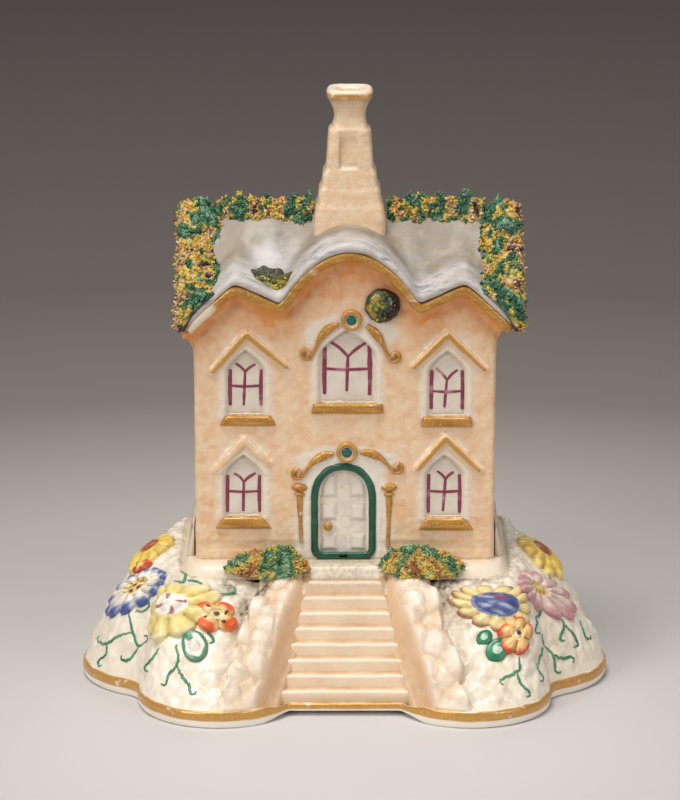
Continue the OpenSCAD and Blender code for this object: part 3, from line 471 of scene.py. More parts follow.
@functools.cache
def mottle_group() -> bpy.types.NodeTree:
    """Clouding of a hand-brushed glaze, with dark specks and the ripple of its skin."""
    inputs = {"Scale": 150.0, "Specks": 0.04}
    graph, source, ending = effect_group("glaze_mottle", inputs, ("Wash", "Speck", "Ripple"))
    place, scale = source["Place"], source["Scale"]
    spot = graph.add("TexVoronoi", {"Vector": place, "Scale": graph.times(scale, 2.6)}).outputs["Distance"]
    graph.fill(ending, {
        "Wash": graph.span(graph.noise(place, scale, 5.0), 0.36, 0.66),
        "Speck": graph.span(spot, source["Specks"], 0.0),
        "Ripple": graph.noise(place, 760.0, 2.0),
    })
    return graph.tree


@functools.cache
def grime_and_shade_group() -> bpy.types.NodeTree:
    """Darkening set by the hollow layer, broken up by fine grain: old dirt in some places, painted shade in
    recesses, creases and corners in others.
    """
    graph, source, ending = effect_group("grime_and_painted_shade", {"Hollow": 0.0, "Amount": 1.0}, ("DirtAndShade",))
    grain = graph.span(graph.noise(source["Place"], 900.0, 4.0), 0.25, 0.75, 0.35, 1.25)
    amount = graph.times(source["Hollow"], source["Amount"])
    graph.fill(ending, {"DirtAndShade": graph.times(amount, grain, True)})
    return graph.tree


@functools.cache
def brush_group() -> bpy.types.NodeTree:
    """Streaks of a loaded brush: noise stretched along the stroke, with thin worn places."""
    inputs = {"Along": (1.0, 1.0, 1.0), "Scale": 900.0}
    graph, source, ending = effect_group("brush_streaks", inputs, ("Streak", "Worn"))
    stretch = {0: source["Place"], 1: source["Along"]}
    place = graph.add("VectorMath", stretch, operation="MULTIPLY").outputs[0]
    broad = graph.noise(place, graph.times(source["Scale"], 0.45), 6.0)
    graph.fill(ending, {"Streak": graph.noise(place, source["Scale"]), "Worn": graph.span(broad, 0.64, 0.78)})
    return graph.tree


class Finish:
    """A surface finish: subclasses wire their own material."""

    name: str

    def wire(self, graph: Graph, shader: Node, place: Socket) -> None:
        """Wires the finish into the shader.

        Args:
            graph: the material's graph.
            shader: its Principled shader.
            place: object coordinates.
        """
        raise NotImplementedError


@functools.cache
def material_of(finish: Finish) -> bpy.types.Material:
    """Material of a finish, made once."""
    material = bpy.data.materials.new(finish.name)
    material.use_nodes = True
    graph = Graph(material.node_tree)
    place = graph.add("TexCoord", {}).outputs["Object"]
    finish.wire(graph, material.node_tree.nodes["Principled BSDF"], place)
    return material


OLD_GOLD = tint(208, 156, 78)
PALE_GOLD = tint(222, 178, 106)
BROWN_GOLD = tint(180, 126, 54)
# Grey-brown for dirt, specks and painted shade in hollows
GRIME_AND_SHADE = tint(104, 92, 76)


@dataclass(frozen=True)
class Glaze(Finish):
    """Glazed porcelain, clouded by hand, with dirt and painted shade in its hollows.

    Painted layers: wash (more of the second colour, in places painted shade), pale (bare white clay, in
    places a painted highlight), hollow (dirt and painted shade) and gilt (gold).
    """

    name: str
    body: Tint
    wash: Tint
    pale: Tint
    scale: float = 150.0
    wash_share: float = 0.6
    specks: float = 0.03
    dirt_and_shade: float = 1.0
    rough: float = 0.3
    ripple: float = 0.25
    streak_along: Triple | None = None
    streak_tint: Tint = (0.5, 0.5, 0.5)
    streak_share: float = 0.0
    coat: float = 0.25

    def wire(self, graph: Graph, shader: Node, place: Socket) -> None:
        """Mixes body, wash, pale clay, streaks, dirt with painted shade, and gold, then roughness and the
        skin's ripple.
        """
        mottle = graph.effect(mottle_group(), Place=place, Scale=self.scale, Specks=self.specks)
        share = graph.times(mottle["Wash"], self.wash_share)
        share = graph.math("ADD", share, graph.layer("wash"), True)
        colour = graph.blend(share, self.body, self.wash)
        if self.streak_along is not None:
            brush = graph.effect(brush_group(), Place=place, Along=self.streak_along, Scale=700.0)
            streaks = graph.times(graph.span(brush["Streak"], 0.5, 0.72), graph.layer("brushed"))
            colour = graph.blend(graph.times(streaks, self.streak_share), colour, self.streak_tint)
        colour = graph.blend(graph.layer("pale"), colour, self.pale)
        # Dirt and painted shade from the hollow layer
        dirt_and_shade = graph.effect(grime_and_shade_group(), Place=place, Hollow=graph.layer("hollow"), Amount=self.dirt_and_shade)["DirtAndShade"]
        colour = graph.blend(dirt_and_shade, colour, GRIME_AND_SHADE)
        colour = graph.blend(graph.times(mottle["Speck"], 0.55), colour, GRIME_AND_SHADE)
        gold = graph.blend(graph.span(graph.noise(place, 1400.0, 4.0), 0.3, 0.7), BROWN_GOLD, PALE_GOLD)
        gold = graph.blend(0.7, gold, OLD_GOLD)
        rubbed = graph.span(graph.noise(place, 420.0, 6.0), 0.62, 0.72, 1.0, 0.25)
        gilt = graph.times(graph.layer("gilt"), rubbed, True)
        graph.fill(shader, {
            "Base Color": graph.blend(gilt, colour, gold),
            "Metallic": graph.times(gilt, 0.35),
            "Roughness": graph.math("ADD", graph.times(dirt_and_shade, 0.35), self.rough, True),
            "Coat Weight": self.coat,
            "Coat Roughness": 0.12,
        })
        graph.bump(shader, mottle["Ripple"], self.ripple, 0.0004)


@dataclass(frozen=True)
class Gilding(Finish):
    """Old brushed gold on porcelain: streaked, brown where it is thick and cream where it is rubbed away."""

    name: str
    along: Triple = (0.2, 1.0, 1.0)
    bare: Tint = tint(235, 220, 196)

    def wire(self, graph: Graph, shader: Node, place: Socket) -> None:
        """Mixes gold, brown streaks and rubbed clay, with the metal fading where it is rubbed."""
        brush = graph.effect(brush_group(), Place=place, Along=self.along, Scale=900.0)
        streak = graph.span(brush["Streak"], 0.32, 0.7)
        gold = graph.blend(streak, BROWN_GOLD, OLD_GOLD)
        gold = graph.blend(graph.span(graph.noise(place, 1500.0), 0.52, 0.75), gold, PALE_GOLD)
        worn = graph.times(graph.math("MAXIMUM", brush["Worn"], graph.layer("pale")), 0.9, True)
        colour = graph.blend(worn, gold, self.bare)
        graph.fill(shader, {
            # Browner where the hollow layer is set: painted shade along the sills' undersides, and a browner
            # tone over the scrolls' necks and curls
            "Base Color": graph.blend(graph.layer("hollow"), colour, BROWN_GOLD),
            "Metallic": graph.span(worn, 0.0, 1.0, 0.35, 0.0),
            "Roughness": graph.span(streak, 0.0, 1.0, 0.5, 0.34),
        })
        graph.bump(shader, brush["Streak"], 0.35, 0.0003)


@dataclass(frozen=True)
class Enamel(Finish):
    """Painted enamel over the glaze: colours come from the paint layer, thin strokes break up a little."""

    name: str
    rough: float = 0.32
    grain: float = 0.22

    def wire(self, graph: Graph, shader: Node, place: Socket) -> None:
        """Takes the painted colour, darkens and lightens it in small clouds, darkens it with painted shade
        from the hollow layer, and adds the brush's ripple.
        """
        mottle = graph.effect(mottle_group(), Place=place, Scale=420.0, Specks=0.0)
        cloud = graph.blend(mottle["Wash"], (0.80, 0.78, 0.76), (1.0, 1.0, 1.0))
        colour = graph.blend(1.0, graph.layer("paint", "Color"), cloud, "MULTIPLY")
        # Painted shade from the hollow layer, between the petals
        dirt_and_shade = graph.effect(grime_and_shade_group(), Place=place, Hollow=graph.layer("hollow"), Amount=0.8)["DirtAndShade"]
        graph.fill(shader, {
            "Base Color": graph.blend(dirt_and_shade, colour, GRIME_AND_SHADE),
            "Roughness": graph.span(mottle["Wash"], 0.0, 1.0, self.rough, self.rough + 0.15),
            "Coat Weight": 0.2,
            "Coat Roughness": 0.15,
        })
        graph.bump(shader, mottle["Ripple"], self.grain, 0.0003)


@dataclass(frozen=True)
class Charcoal(Finish):
    """Pressed charcoal and gum: near black, dry and grainy."""

    name: str

    def wire(self, graph: Graph, shader: Node, place: Socket) -> None:
        """Mixes black and ash grey by fine grain."""
        grain = graph.noise(place, 1600.0, 5.0)
        colour = graph.blend(graph.span(grain, 0.45, 0.75), tint(38, 34, 32), tint(96, 88, 82))
        graph.fill(shader, {"Base Color": colour, "Roughness": 0.85})
        graph.bump(shader, grain, 0.5, 0.0006)


@dataclass(frozen=True)
class Paper(Finish):
    """Backdrop paper with a painted pool of light: pale round the object, darker with distance from it."""

    name: str
    # Middle of the painted pool of light, and tints by distance from it, in metres
    middle: Triple = (0.0, -0.06, 0.0)
    tints: tuple[tuple[float, Tint], ...] = (
        (0.03, tint(214, 211, 212)), (0.13, tint(190, 185, 183)), (0.20, tint(180, 174, 170)),
        (0.33, tint(124, 117, 112)), (0.48, tint(101, 93, 89)), (1.10, tint(83, 73, 70)),
    )

    def wire(self, graph: Graph, shader: Node, place: Socket) -> None:
        """Blends from tint to tint by the distance from the pale patch."""
        reach = graph.add("VectorMath", {0: place, 1: self.middle}, operation="DISTANCE").outputs["Value"]
        colour = self.tints[0][1]
        for (start, _), (end, shade) in zip(self.tints[:-1], self.tints[1:]):
            share = graph.add("MapRange", {"Value": reach, "From Min": start, "From Max": end}).outputs[0]
            colour = graph.blend(share, colour, shade)
        graph.fill(shader, {"Base Color": colour, "Roughness": 0.7})


CREAM = Glaze("cream_glaze", tint(246, 236, 219), tint(232, 216, 190), tint(248, 243, 234), 120.0, 0.5)
APRICOT = Glaze(
    "apricot_glaze", tint(241, 213, 179), tint(224, 148, 74), tint(238, 228, 212), 430.0, 0.27, 0.045,
    dirt_and_shade=0.8, rough=0.34, ripple=0.45,
)
STAIR = Glaze(
    "stair_glaze", tint(236, 213, 184), tint(208, 160, 112), tint(246, 238, 225), 140.0, 0.24, 0.04,
    dirt_and_shade=0.9, rough=0.42, coat=0.12,
)
HOOD = Glaze(
    "hood_glaze", tint(240, 212, 176), tint(230, 178, 122), tint(246, 236, 220), 240.0, 0.5, dirt_and_shade=0.8
)
WHITE = Glaze(
    "white_glaze", tint(232, 222, 208), tint(214, 200, 184), tint(244, 238, 228), 260.0, 0.5, dirt_and_shade=0.9
)
ROOF = Glaze(
    "roof_glaze", tint(208, 203, 199), tint(150, 136, 118), tint(222, 222, 228), 200.0, 0.4, 0.09,
    dirt_and_shade=0.8, rough=0.5, ripple=0.2, streak_along=(0.12, 1.0, 1.0), streak_tint=tint(132, 138, 154),
    streak_share=0.95, coat=0.05,
)
GILT_BAR = Gilding("gilding")
GILT_SCROLL = Gilding("gilding_scrolls", (1.0, 1.0, 1.0))
PETALS = Enamel("painted_petals")
STROKES = Enamel("enamel_strokes", 0.28, 0.1)
LEAFAGE = Enamel("shredded_foliage", 0.36, 0.5)
GLOSSY_LEAFAGE = Enamel("glossy_foliage", 0.18, 0.4)
BLACK = Charcoal("charcoal")
BACKDROP = Paper("floor_paper")


@dataclass(frozen=True)
class Sight:
    """The photograph's viewpoint: straight from the front, looking down a little."""

    tilt: float = 15.0
    distance: float = 962.0
    pixels_per_mm: float = 4.051
    target: Triple = (-1.2, -8.0, 73.1)
    image: Pair = (680.0, 800.0)
    sensor: float = 36.0

    def pixel_of(self, points: Array) -> Array:
        """Pixels at which points of the part are seen: offsets across and up, divided by depth.

        Args:
            points: places in millimetres.

        Returns:
            Column and row on the last axis.
        """
        tilt = np.radians(self.tilt)
        d = points - np.array(self.target)
        depth = self.distance + d[..., 1] * np.cos(tilt) - d[..., 2] * np.sin(tilt)
        rise = d[..., 1] * np.sin(tilt) + d[..., 2] * np.cos(tilt)
        zoom = self.pixels_per_mm * self.distance / depth
        return np.stack([self.image[0] / 2 + zoom * d[..., 0], self.image[1] / 2 - zoom * rise], axis=-1)

    def camera(self) -> bpy.types.Object:
        """Camera at the viewpoint, with the lens that gives the photograph's scale."""
        tilt = np.radians(self.tilt)
        data = bpy.data.cameras.new("front_view")
        data.sensor_width = self.sensor
        data.lens = self.pixels_per_mm * self.distance * self.sensor / max(self.image)
        data.clip_start = 0.01
        data.clip_end = 30.0
        camera = bpy.data.objects.new("front_view", data)
        back = np.array([0.0, -np.cos(tilt), np.sin(tilt)]) * self.distance
        camera.location = tuple((np.array(self.target) + back) * MM)
        camera.rotation_euler = (np.pi / 2 - tilt, 0.0, 0.0)
        bpy.context.scene.collection.objects.link(camera)
        return camera


@dataclass(frozen=True)
class Lamp:
    """One soft box of the studio."""

    name: str
    place: Triple
    size: float
    watts: float
    warmth: Tint = (1.0, 0.97, 0.93)


@dataclass
class Studio:
    """Pale floor that falls away into grey, soft boxes above and in front, and the camera."""

    sight: Sight = field(default_factory=Sight)
    floor_half: float = 6.0
    sky: Tint = (0.235, 0.232, 0.23)
    lamps: tuple[Lamp, ...] = (
        Lamp("overhead_box", (-0.15, -0.25, 1.1), 0.55, 8.0),
        Lamp("front_left_box", (-0.85, -0.9, 0.7), 0.5, 6.2),
        Lamp("front_right_box", (0.9, -0.85, 0.6), 0.6, 3.4),
        Lamp("back_box", (0.0, 1.2, 1.0), 0.8, 2.5),
    )

    def build(self) -> None:
        """Builds the floor, lights and camera."""
        scene = bpy.context.scene
        scene.camera = self.sight.camera()
        scene.view_settings.view_transform = "Standard"
        half = self.floor_half
        mesh = bpy.data.meshes.new("studio_floor")
        corners = [(-half, -half, 0.0), (half, -half, 0.0), (half, half, 0.0), (-half, half, 0.0)]
        mesh.from_pydata(corners, [], [(0, 1, 2, 3)])
        floor = bpy.data.objects.new("studio_floor", mesh)
        scene.collection.objects.link(floor)
        mesh.materials.append(material_of(BACKDROP))
        for lamp in self.lamps:
            self.light(lamp)
        world = bpy.data.worlds.new("studio_air")
        world.use_nodes = True
        air = world.node_tree.nodes["Background"]
        Graph(world.node_tree).fill(air, {"Color": self.sky, "Strength": 1.0})
        scene.world = world

    def light(self, lamp: Lamp) -> None:
        """Hangs one soft box, turned towards the middle of the object."""
        data = bpy.data.lights.new(lamp.name, "AREA")
        data.shape = "DISK"
        data.size = lamp.size
        data.energy = lamp.watts
        data.color = lamp.warmth
        box = bpy.data.objects.new(lamp.name, data)
        box.location = lamp.place
        aim = np.array([0.0, 0.0, 0.07]) - np.array(lamp.place)
        flat = np.hypot(aim[0], aim[1])
        box.rotation_euler = (np.arctan2(flat, -aim[2]), 0.0, np.arctan2(-aim[0], aim[1]))
        bpy.context.scene.collection.objects.link(box)


@dataclass(frozen=True)
class Plan:
    """Ground plan of the base and the bank that rises from it, as the solids have it."""

    rim_h: float = 2.75
    half_d: float = 44.0
    side_x: float = 44.0
    side_r: float = 22.0
    corner_x: float = 31.0
    corner_r: float = 20.0
    front_y: float = -34.5
    back_y: float = 42.0
    lobe_blend: float = 6.0
    plinth_z: float = 32.0
    mound_top: float = 28.5
    bank_rise: float = 2.0
    rock_lump: float = 0.7
    rock_crag: float = 0.9
    foot_half_w: float = 41.2
    foot_half_d: float = 25.25
    foot_mid_y: float = 10.75
    foot_front_y: float = -14.5
    ledge_front_y: float = -13.0
    stair_half: float = 9.4
    stair_flare: float = 0.34
    wall_t: float = 11.5
    corner_power: float = 12.0

    def lobe(self, x: float, y: float, radius: float, turn: Array) -> Array:
        """Reach from the origin to the far side of a round lobe, 0 where the ray misses it."""
        along = x * np.cos(turn) + y * np.sin(turn)
        across = x * np.sin(turn) - y * np.cos(turn)
        depth = radius**2 - across**2
        return np.where(depth > 0, np.maximum(along + np.sqrt(np.maximum(depth, 0.0)), 0.0), 0.0)

    def line(self, y: float, turn: Array) -> Array:
        """Reach from the origin to the straight front or back."""
        rise = np.where(np.abs(np.sin(turn)) < 1e-6, 1e-6, np.sin(turn))
        longest = np.hypot(self.corner_x, self.half_d - self.corner_r)
        return np.where(y * rise > 0, np.minimum(y / rise, longest), 0.0)

    def rim_reach(self, degrees: Array) -> Array:
        """Reach of the lobed outline: the lobes and straight sides blended by smooth_max."""
        turn = np.radians(degrees)
        m = np.where(np.cos(turn) >= 0, turn, np.pi - turn)
        corner_y = self.half_d - self.corner_r
        front = self.lobe(self.corner_x, -corner_y, self.corner_r, m)
        back = self.lobe(self.corner_x, corner_y, self.corner_r, m)
        flat = np.maximum(self.line(self.front_y, m), self.line(self.back_y, m))
        side = self.lobe(self.side_x, 0.0, self.side_r, m)
        lobes = smooth_max(side, np.maximum(front, back), self.lobe_blend)
        return smooth_max(lobes, flat, self.lobe_blend / 3)

    def rim_at(self, degrees: Array) -> Array:
        """Points of the outline, x and y on the last axis."""
        turn = np.radians(degrees)
        return self.rim_reach(degrees)[..., None] * np.stack([np.cos(turn), np.sin(turn)], axis=-1)

    def lane_x(self, share: Array, y: Array) -> Array:
        """Half width of the stairs at y, with a share of the side wall's thickness added."""
        return self.stair_half + self.stair_flare * (self.ledge_front_y - y) + share * self.wall_t

    @functools.cached_property
    def bank_start(self) -> float:
        """Direction in which the stair wall's outer edge crosses the outline, found by halving."""
        low, high = -89.0, -25.0
        for _ in range(30):
            middle = (low + high) / 2
            x, y = self.rim_at(np.array(middle))
            low, high = (middle, high) if x < self.lane_x(1.0, y) else (low, middle)
        return low

    @property
    def bank_sweep(self) -> float:
        """Degrees that the bank runs round the back, from one stair wall to the other."""
        return 180.0 - 2.0 * self.bank_start

    def oblong_reach(self, half_w: Array, half_d: Array, turn: Array) -> Array:
        """Reach of a rounded oblong: a power mean of its two half sizes."""
        p = self.corner_power
        return ((np.abs(np.cos(turn)) / half_w) ** p + (np.abs(np.sin(turn)) / half_d) ** p) ** (-1.0 / p)

    def foot_at(self, degrees: Array) -> Array:
        """Plinth's foot above a direction of the outline: x and y."""
        start = np.arctan2(self.foot_front_y - self.foot_mid_y, self.lane_x(1.0, self.foot_front_y))
        turn = start + (np.pi - 2 * start) * (degrees - self.bank_start) / self.bank_sweep
        reach = self.oblong_reach(self.foot_half_w, self.foot_half_d, turn) + 0.2
        return np.stack([reach * np.cos(turn), reach * np.sin(turn) + self.foot_mid_y], axis=-1)

    def from_stairs(self, degrees: Array) -> Array:
        """Degrees from the nearer stair wall."""
        return np.minimum(degrees - self.bank_start, self.bank_start + self.bank_sweep - degrees)

    def near_stairs(self, degrees: Array) -> Array:
        """1 beside the stairs, fading to 0 round the lobes."""
        return bell(self.from_stairs(degrees), 22.0)

    def bank(self, degrees: Array, share: Array) -> Array:
        """Points of the bank: straight in plan from rim to plinth, a power curve in height, slow lumps."""
        degrees, share = np.broadcast_arrays(np.asarray(degrees, float), np.asarray(share, float))
        rim = self.rim_at(degrees)
        plan = rim + (self.foot_at(degrees) - rim) * share[..., None]
        near = self.near_stairs(degrees)
        top = self.mound_top + self.bank_rise * (1.0 - near)
        crags = self.rock_crag * np.maximum(np.sin(np.radians(degrees)), 0.0)
        lift = self.rock_lump * lumps(9.0 * degrees, 260.0 * share + 3.0 * degrees)
        lift = lift + crags * lumps(23.0 * degrees, 620.0 * share + 11.0 * degrees)
        swell = 1.0 - np.clip(1.0 - share, 0.0, None) ** (2.3 - near)
        z = self.rim_h + (top - self.rim_h) * swell + 4.0 * share * (1.0 - share) * lift
        return np.concatenate([plan, z[..., None]], axis=-1)

    def bank_steps(self, degrees: Array, share: Array) -> tuple[Array, Array]:
        """Steps of one degree along the bank and of a fiftieth of the way up it."""
        along = self.bank(degrees + 0.5, share) - self.bank(degrees - 0.5, share)
        return along, self.bank(degrees, share + 0.01) - self.bank(degrees, share - 0.01)

    def bank_normal(self, degrees: Array, share: Array) -> Array:
        """Outward directions of the bank."""
        return unit(np.cross(*self.bank_steps(degrees, share)))

    def bank_scale(self, degrees: float, share: float) -> Pair:
        """Millimetres for each degree along the bank and for each unit of share up it."""
        along, up = self.bank_steps(degrees, share)
        return float(np.linalg.norm(along)), float(np.linalg.norm(up)) * 50.0


def blend_tints(first: Tint | Array, second: Tint | Array, share: Array) -> Array:
    """Colours between two, by a share that varies over the surface."""
    return np.asarray(first) * (1.0 - share[..., None]) + np.asarray(second) * share[..., None]


# Tints of the foliage from the hollows between its clumps to their crowns, with the share of each: the first,
# a near-black brown, is painted shade in the hollows, and the last, a pale green, a painted highlight on the
# crowns
LEAF_TINTS = (
    tint(66, 40, 24), tint(206, 168, 126), tint(226, 202, 164), tint(208, 150, 72), tint(220, 176, 58),
    tint(226, 200, 84), tint(128, 146, 74), tint(62, 120, 88), tint(30, 86, 62), tint(48, 108, 80),
    tint(112, 158, 122),
)
LEAF_CHANCES = (0.08, 0.06, 0.09, 0.08, 0.14, 0.11, 0.09, 0.11, 0.11, 0.08, 0.05)


@dataclass(frozen=True)
class Shreds:
    """Clay pressed through a sieve: a granular core with short, crooked crumbs strewn over it."""

    count: int
    seed: int
    length: Pair = (0.35, 0.8)
    half: Pair = (0.2, 0.36)
    tints: tuple[Tint, ...] = LEAF_TINTS
    chances: tuple[float, ...] = LEAF_CHANCES
    stray: float = 0.05
    grain: float = 1.15
    rough: float = 0.8
    reach: float = 0.995
    gathered: float = 0.0
    dapple: float = 0.75

    def tinted(self, points: Array, tone: Array, rng: np.random.Generator) -> Array:
        """Colours along the tints by the rank of the dappled and strayed tone, so each takes its share."""
        dapples = self.dapple * clouds(points, 2.4, self.seed + 7, 2)
        strayed = (tone + dapples + self.stray * rng.normal(size=tone.shape)).ravel()
        rank = np.argsort(np.argsort(strayed)) / strayed.size
        stops = np.cumsum(self.chances) - np.array(self.chances) / 2
        colour = np.stack([np.interp(rank, stops, channel) for channel in np.array(self.tints).T], axis=-1)
        colour = colour * rng.uniform(0.85, 1.12, (strayed.size, 1))
        return colour.reshape(tone.shape + (3,))

    def core(self, points: Array, tone: Array, middle: Array) -> tuple[Array, Array]:
        """Granular core: points pushed away from the middle by grains, with painted shade in the pits between
        them.

        Args:
            points: the smooth core.
            tone: how far each point belongs to a crown.
            middle: a point below the core.

        Returns:
            The pushed points and their colours.
        """
        near, _ = pebbles(points, self.grain, self.seed)
        push = self.rough * (0.55 - near) + 0.3 * self.rough * clouds(points, 0.9, self.seed)
        # Painted shade: darker towards the pits between the grains
        lit = 1.0 - 0.75 * ease(0.45, 0.85, near)
        colour = self.tinted(points, tone, np.random.default_rng(self.seed)) * lit[..., None]
        return points + push[..., None] * unit(points - middle), colour

    def strew(self, skin: Skin, surface: Callable, tone: Callable, middle: Array) -> None:
        """Plants the crumbs over a surface, coloured from its hollows to its crowns.

        Args:
            skin: the mesh that they join.
            surface: points at two parameters from 0 to 1.
            tone: how far a place belongs to a crown, at the same parameters.
            middle: a point below the core that the crumbs point away from.
        """
        rng = np.random.default_rng(self.seed + 1)
        u, v = rng.uniform(0.005, 0.995, (2, self.count))
        u = np.where(rng.uniform(size=self.count) < self.gathered, 0.06, self.reach) * u
        root = surface(u, v)
        away = unit(root - middle)
        lean = unit(rng.normal(size=(self.count, 3)))
        bend = unit(rng.normal(size=(self.count, 3)))
        aim = unit(away + 1.3 * lean)
        length = rng.uniform(*self.length, self.count)[:, None, None]
        t = np.linspace(0.0, 1.0, 4)[None, :, None]
        path = root[:, None] - 0.1 * away[:, None] + length * (aim[:, None] * t + 0.9 * bend[:, None] * t**2)
        half = rng.uniform(*self.half, self.count)[:, None] * np.array([0.8, 1.1, 1.0, 0.7])
        # Painted shade: each crumb darker at its root by the core, lighter towards its tip
        root_shade = np.array([0.55, 0.85, 1.05, 1.1])[None, :, None]
        up = unit(np.cross(aim, lean) + 1e-3)[:, None]
        skin.tubes(path, half, half, up, 5, paint=self.tinted(root, tone(u, v), rng)[:, None] * root_shade)

    def mound(self, surface: Callable, tone: Callable, middle: Array, sink: Array) -> Skin:
        """Oval patch of foliage: u runs from its middle out, v runs round, and its foot is sunk."""
        u = np.linspace(0.0, 1.0, 44)[:, None] ** 1.5
        v = (np.arange(110) / 110)[None, :]
        points, paint = self.core(surface(u, v), tone(u, v), middle)
        points[0] = points[0].mean(axis=0)
        foot = np.broadcast_to(points[-1:].mean(axis=1, keepdims=True), points[-1:].shape) + sink
        skin = Skin()
        skin.grid(np.concatenate([points, foot]), ring=True, paint=np.concatenate([paint, paint[-1:]]))
        self.strew(skin, surface, tone, middle)
        return skin


@dataclass
class Flower:
    """Moulded flower laid on the bank: petals round a middle, painted by hand."""

    node: str
    slot: str
    turn: float
    share: float
    radius: float
    petals: int
    painter: Callable[[Array, Array], Array]
    rise: float = 1.7
    middle: float = 0.3
    dome: float = 1.9
    notch: float = 0.22
    squash: Pair = (1.0, 1.0)
    spin: float = 0.0
    slant: float = 0.0
    twins: tuple[Triple, ...] = ()
    rings: int = 38
    spokes: int = 132

    def lay(self, skin: Skin, plan: Plan, place: Pair, size: float) -> None:
        """Petals swell between their notches and sink at the rim, and a dome stands in the middle.

        Args:
            skin: the mesh that the flower joins.
            plan: the bank that carries it.
            place: its direction and its share of the way up.
            size: its radius.
        """
        t = np.linspace(0.0, 1.0, self.rings)[:, None]
        turn = turns(self.spokes)
        lobe = np.abs(np.cos(self.petals * turn / 2 + self.spin))
        lobe = 1.0 - (1.0 - lobe) * ease(self.middle - 0.05, self.middle + 0.15, t)
        reach = size * t * (1.0 - self.notch * (1.0 - lobe) ** 1.5)
        along, up = plan.bank_scale(*place)
        p, q = self.squash[0] * reach * np.cos(turn), self.squash[1] * reach * np.sin(turn)
        degrees = place[0] + (p * np.cos(self.slant) - q * np.sin(self.slant)) / along
        share = clamp(place[1] + (p * np.sin(self.slant) + q * np.cos(self.slant)) / up)
        petal = self.rise * (0.5 + 0.5 * lobe**0.7) * (1.0 - 0.45 * t**3) * ease(0.05, 0.35, t)
        dome = self.dome * rounding(t / self.middle)
        edge = ease(0.9, 1.0, t)
        height = np.maximum(petal, dome) * (1.0 - edge) - 0.5 * edge
        normal = plan.bank_normal(np.full_like(degrees, place[0]), np.full_like(degrees, place[1]))
        local = plan.bank_normal(degrees, share)
        points = plan.bank(degrees, share) + height[..., None] * unit(0.5 * normal + 0.5 * local)
        wobble = clouds(points, 2.2, 5 + self.petals) * 0.14 * (1.0 - edge)
        points += wobble[..., None] * local
        paint = self.painter(*np.broadcast_arrays(t, turn))
        # Painted shade in the notches between the petals
        hollow = clamp((1.0 - lobe) ** 4 * ease(0.3, 0.6, t) * 0.5)
        under = np.broadcast_to(points[-1:].mean(axis=1, keepdims=True), points[-1:].shape)
        points = np.concatenate([points, under - 1.2 * normal[:1, :1]])
        paint = np.concatenate([paint, paint[-1:]])
        hollow = np.concatenate([hollow, hollow[-1:]])
        skin.grid(points, ring=True, paint=paint, hollow=hollow)

    def build(self, plan: Plan) -> None:
        """Lays the flower and its smaller twins on the bank."""
        skin = Skin()
        for turn, share, size in ((self.turn, self.share, self.radius), *self.twins):
            self.lay(skin, plan, (turn, share), size)
        skin.settle(self.node + "_relief", PETALS, Body.BASE, self.slot, self.node)


@dataclass(frozen=True)
class PetalPaint:
    """Colours of a flower: petals, their tips and outlines, the middle with its strokes, and dots."""

    petals: int
    petal: Tint
    tip: Tint
    tip_from: float
    line: Tint
    middle: Tint
    stroke: Tint
    middle_r: float = 0.3
    line_share: float = 0.6
    tip_share: float = 1.0
    strokes: int = 9
    stroke_share: float = 0.8
    spin: float = 0.0
    dots: tuple[Triple, ...] = ()
    dot: Tint = tint(92, 44, 30)
    rim_from: float = 0.9
    glints: tuple[Triple, ...] = ()
    glint: Tint = tint(214, 218, 234)

    def __call__(self, t: Array, turn: Array) -> Array:
        """Colours at shares t of the radius in directions turn."""
        lobe = np.abs(np.cos(self.petals * turn / 2 + self.spin))
        wave = 0.04 * np.sin(5.0 * turn + 7.0 * t)
        colour = np.broadcast_to(np.array(self.petal), t.shape + (3,))
        tips = ease(self.tip_from, self.tip_from + 0.22, t + wave) * ease(0.15, 0.7, lobe) * self.tip_share
        colour = blend_tints(colour, self.tip, tips)
        outline = ease(0.22, 0.06, lobe) * ease(self.middle_r, self.middle_r + 0.15, t) * self.line_share
        colour = blend_tints(colour, self.line, outline)
        rim = ease(self.rim_from, self.rim_from + 0.07, t + wave) * self.line_share * 0.7
        colour = blend_tints(colour, self.line, rim)
        inside = ease(self.middle_r + 0.04, self.middle_r - 0.03, t)
        colour = blend_tints(colour, self.middle, inside)
        marks = ease(0.55, 0.9, np.sin(self.strokes * turn + 5.0 * t)) * ease(0.25, 0.5, t / self.middle_r)
        colour = blend_tints(colour, self.stroke, marks * inside * self.stroke_share)
        across, up = t * np.cos(turn), t * np.sin(turn)
        for x, y, radius in self.glints:
            away = np.hypot(0.45 * (across - x), up - y + 0.25 * across)
            colour = blend_tints(colour, self.glint, 0.65 * ease(radius, 0.0, away))
        for x, y, radius in self.dots:
            colour = blend_tints(colour, self.dot, ease(radius, 0.55 * radius, np.hypot(across - x, up - y)))
        return colour


WHITE_CLAY = tint(250, 244, 232)
BUTTER = tint(246, 226, 146)
PALE_BUTTER = tint(250, 238, 190)
GOLDEN = tint(240, 208, 96)
OCHRE_LINE = tint(206, 160, 76)
MAGENTA = tint(146, 58, 86)
DEEP_RED = tint(134, 52, 44)
ORANGE = tint(238, 104, 50)
ASTER_BLUE = tint(76, 100, 168)
VINE_GREEN = tint(66, 142, 108)
LEAF_GREEN = tint(46, 138, 98)

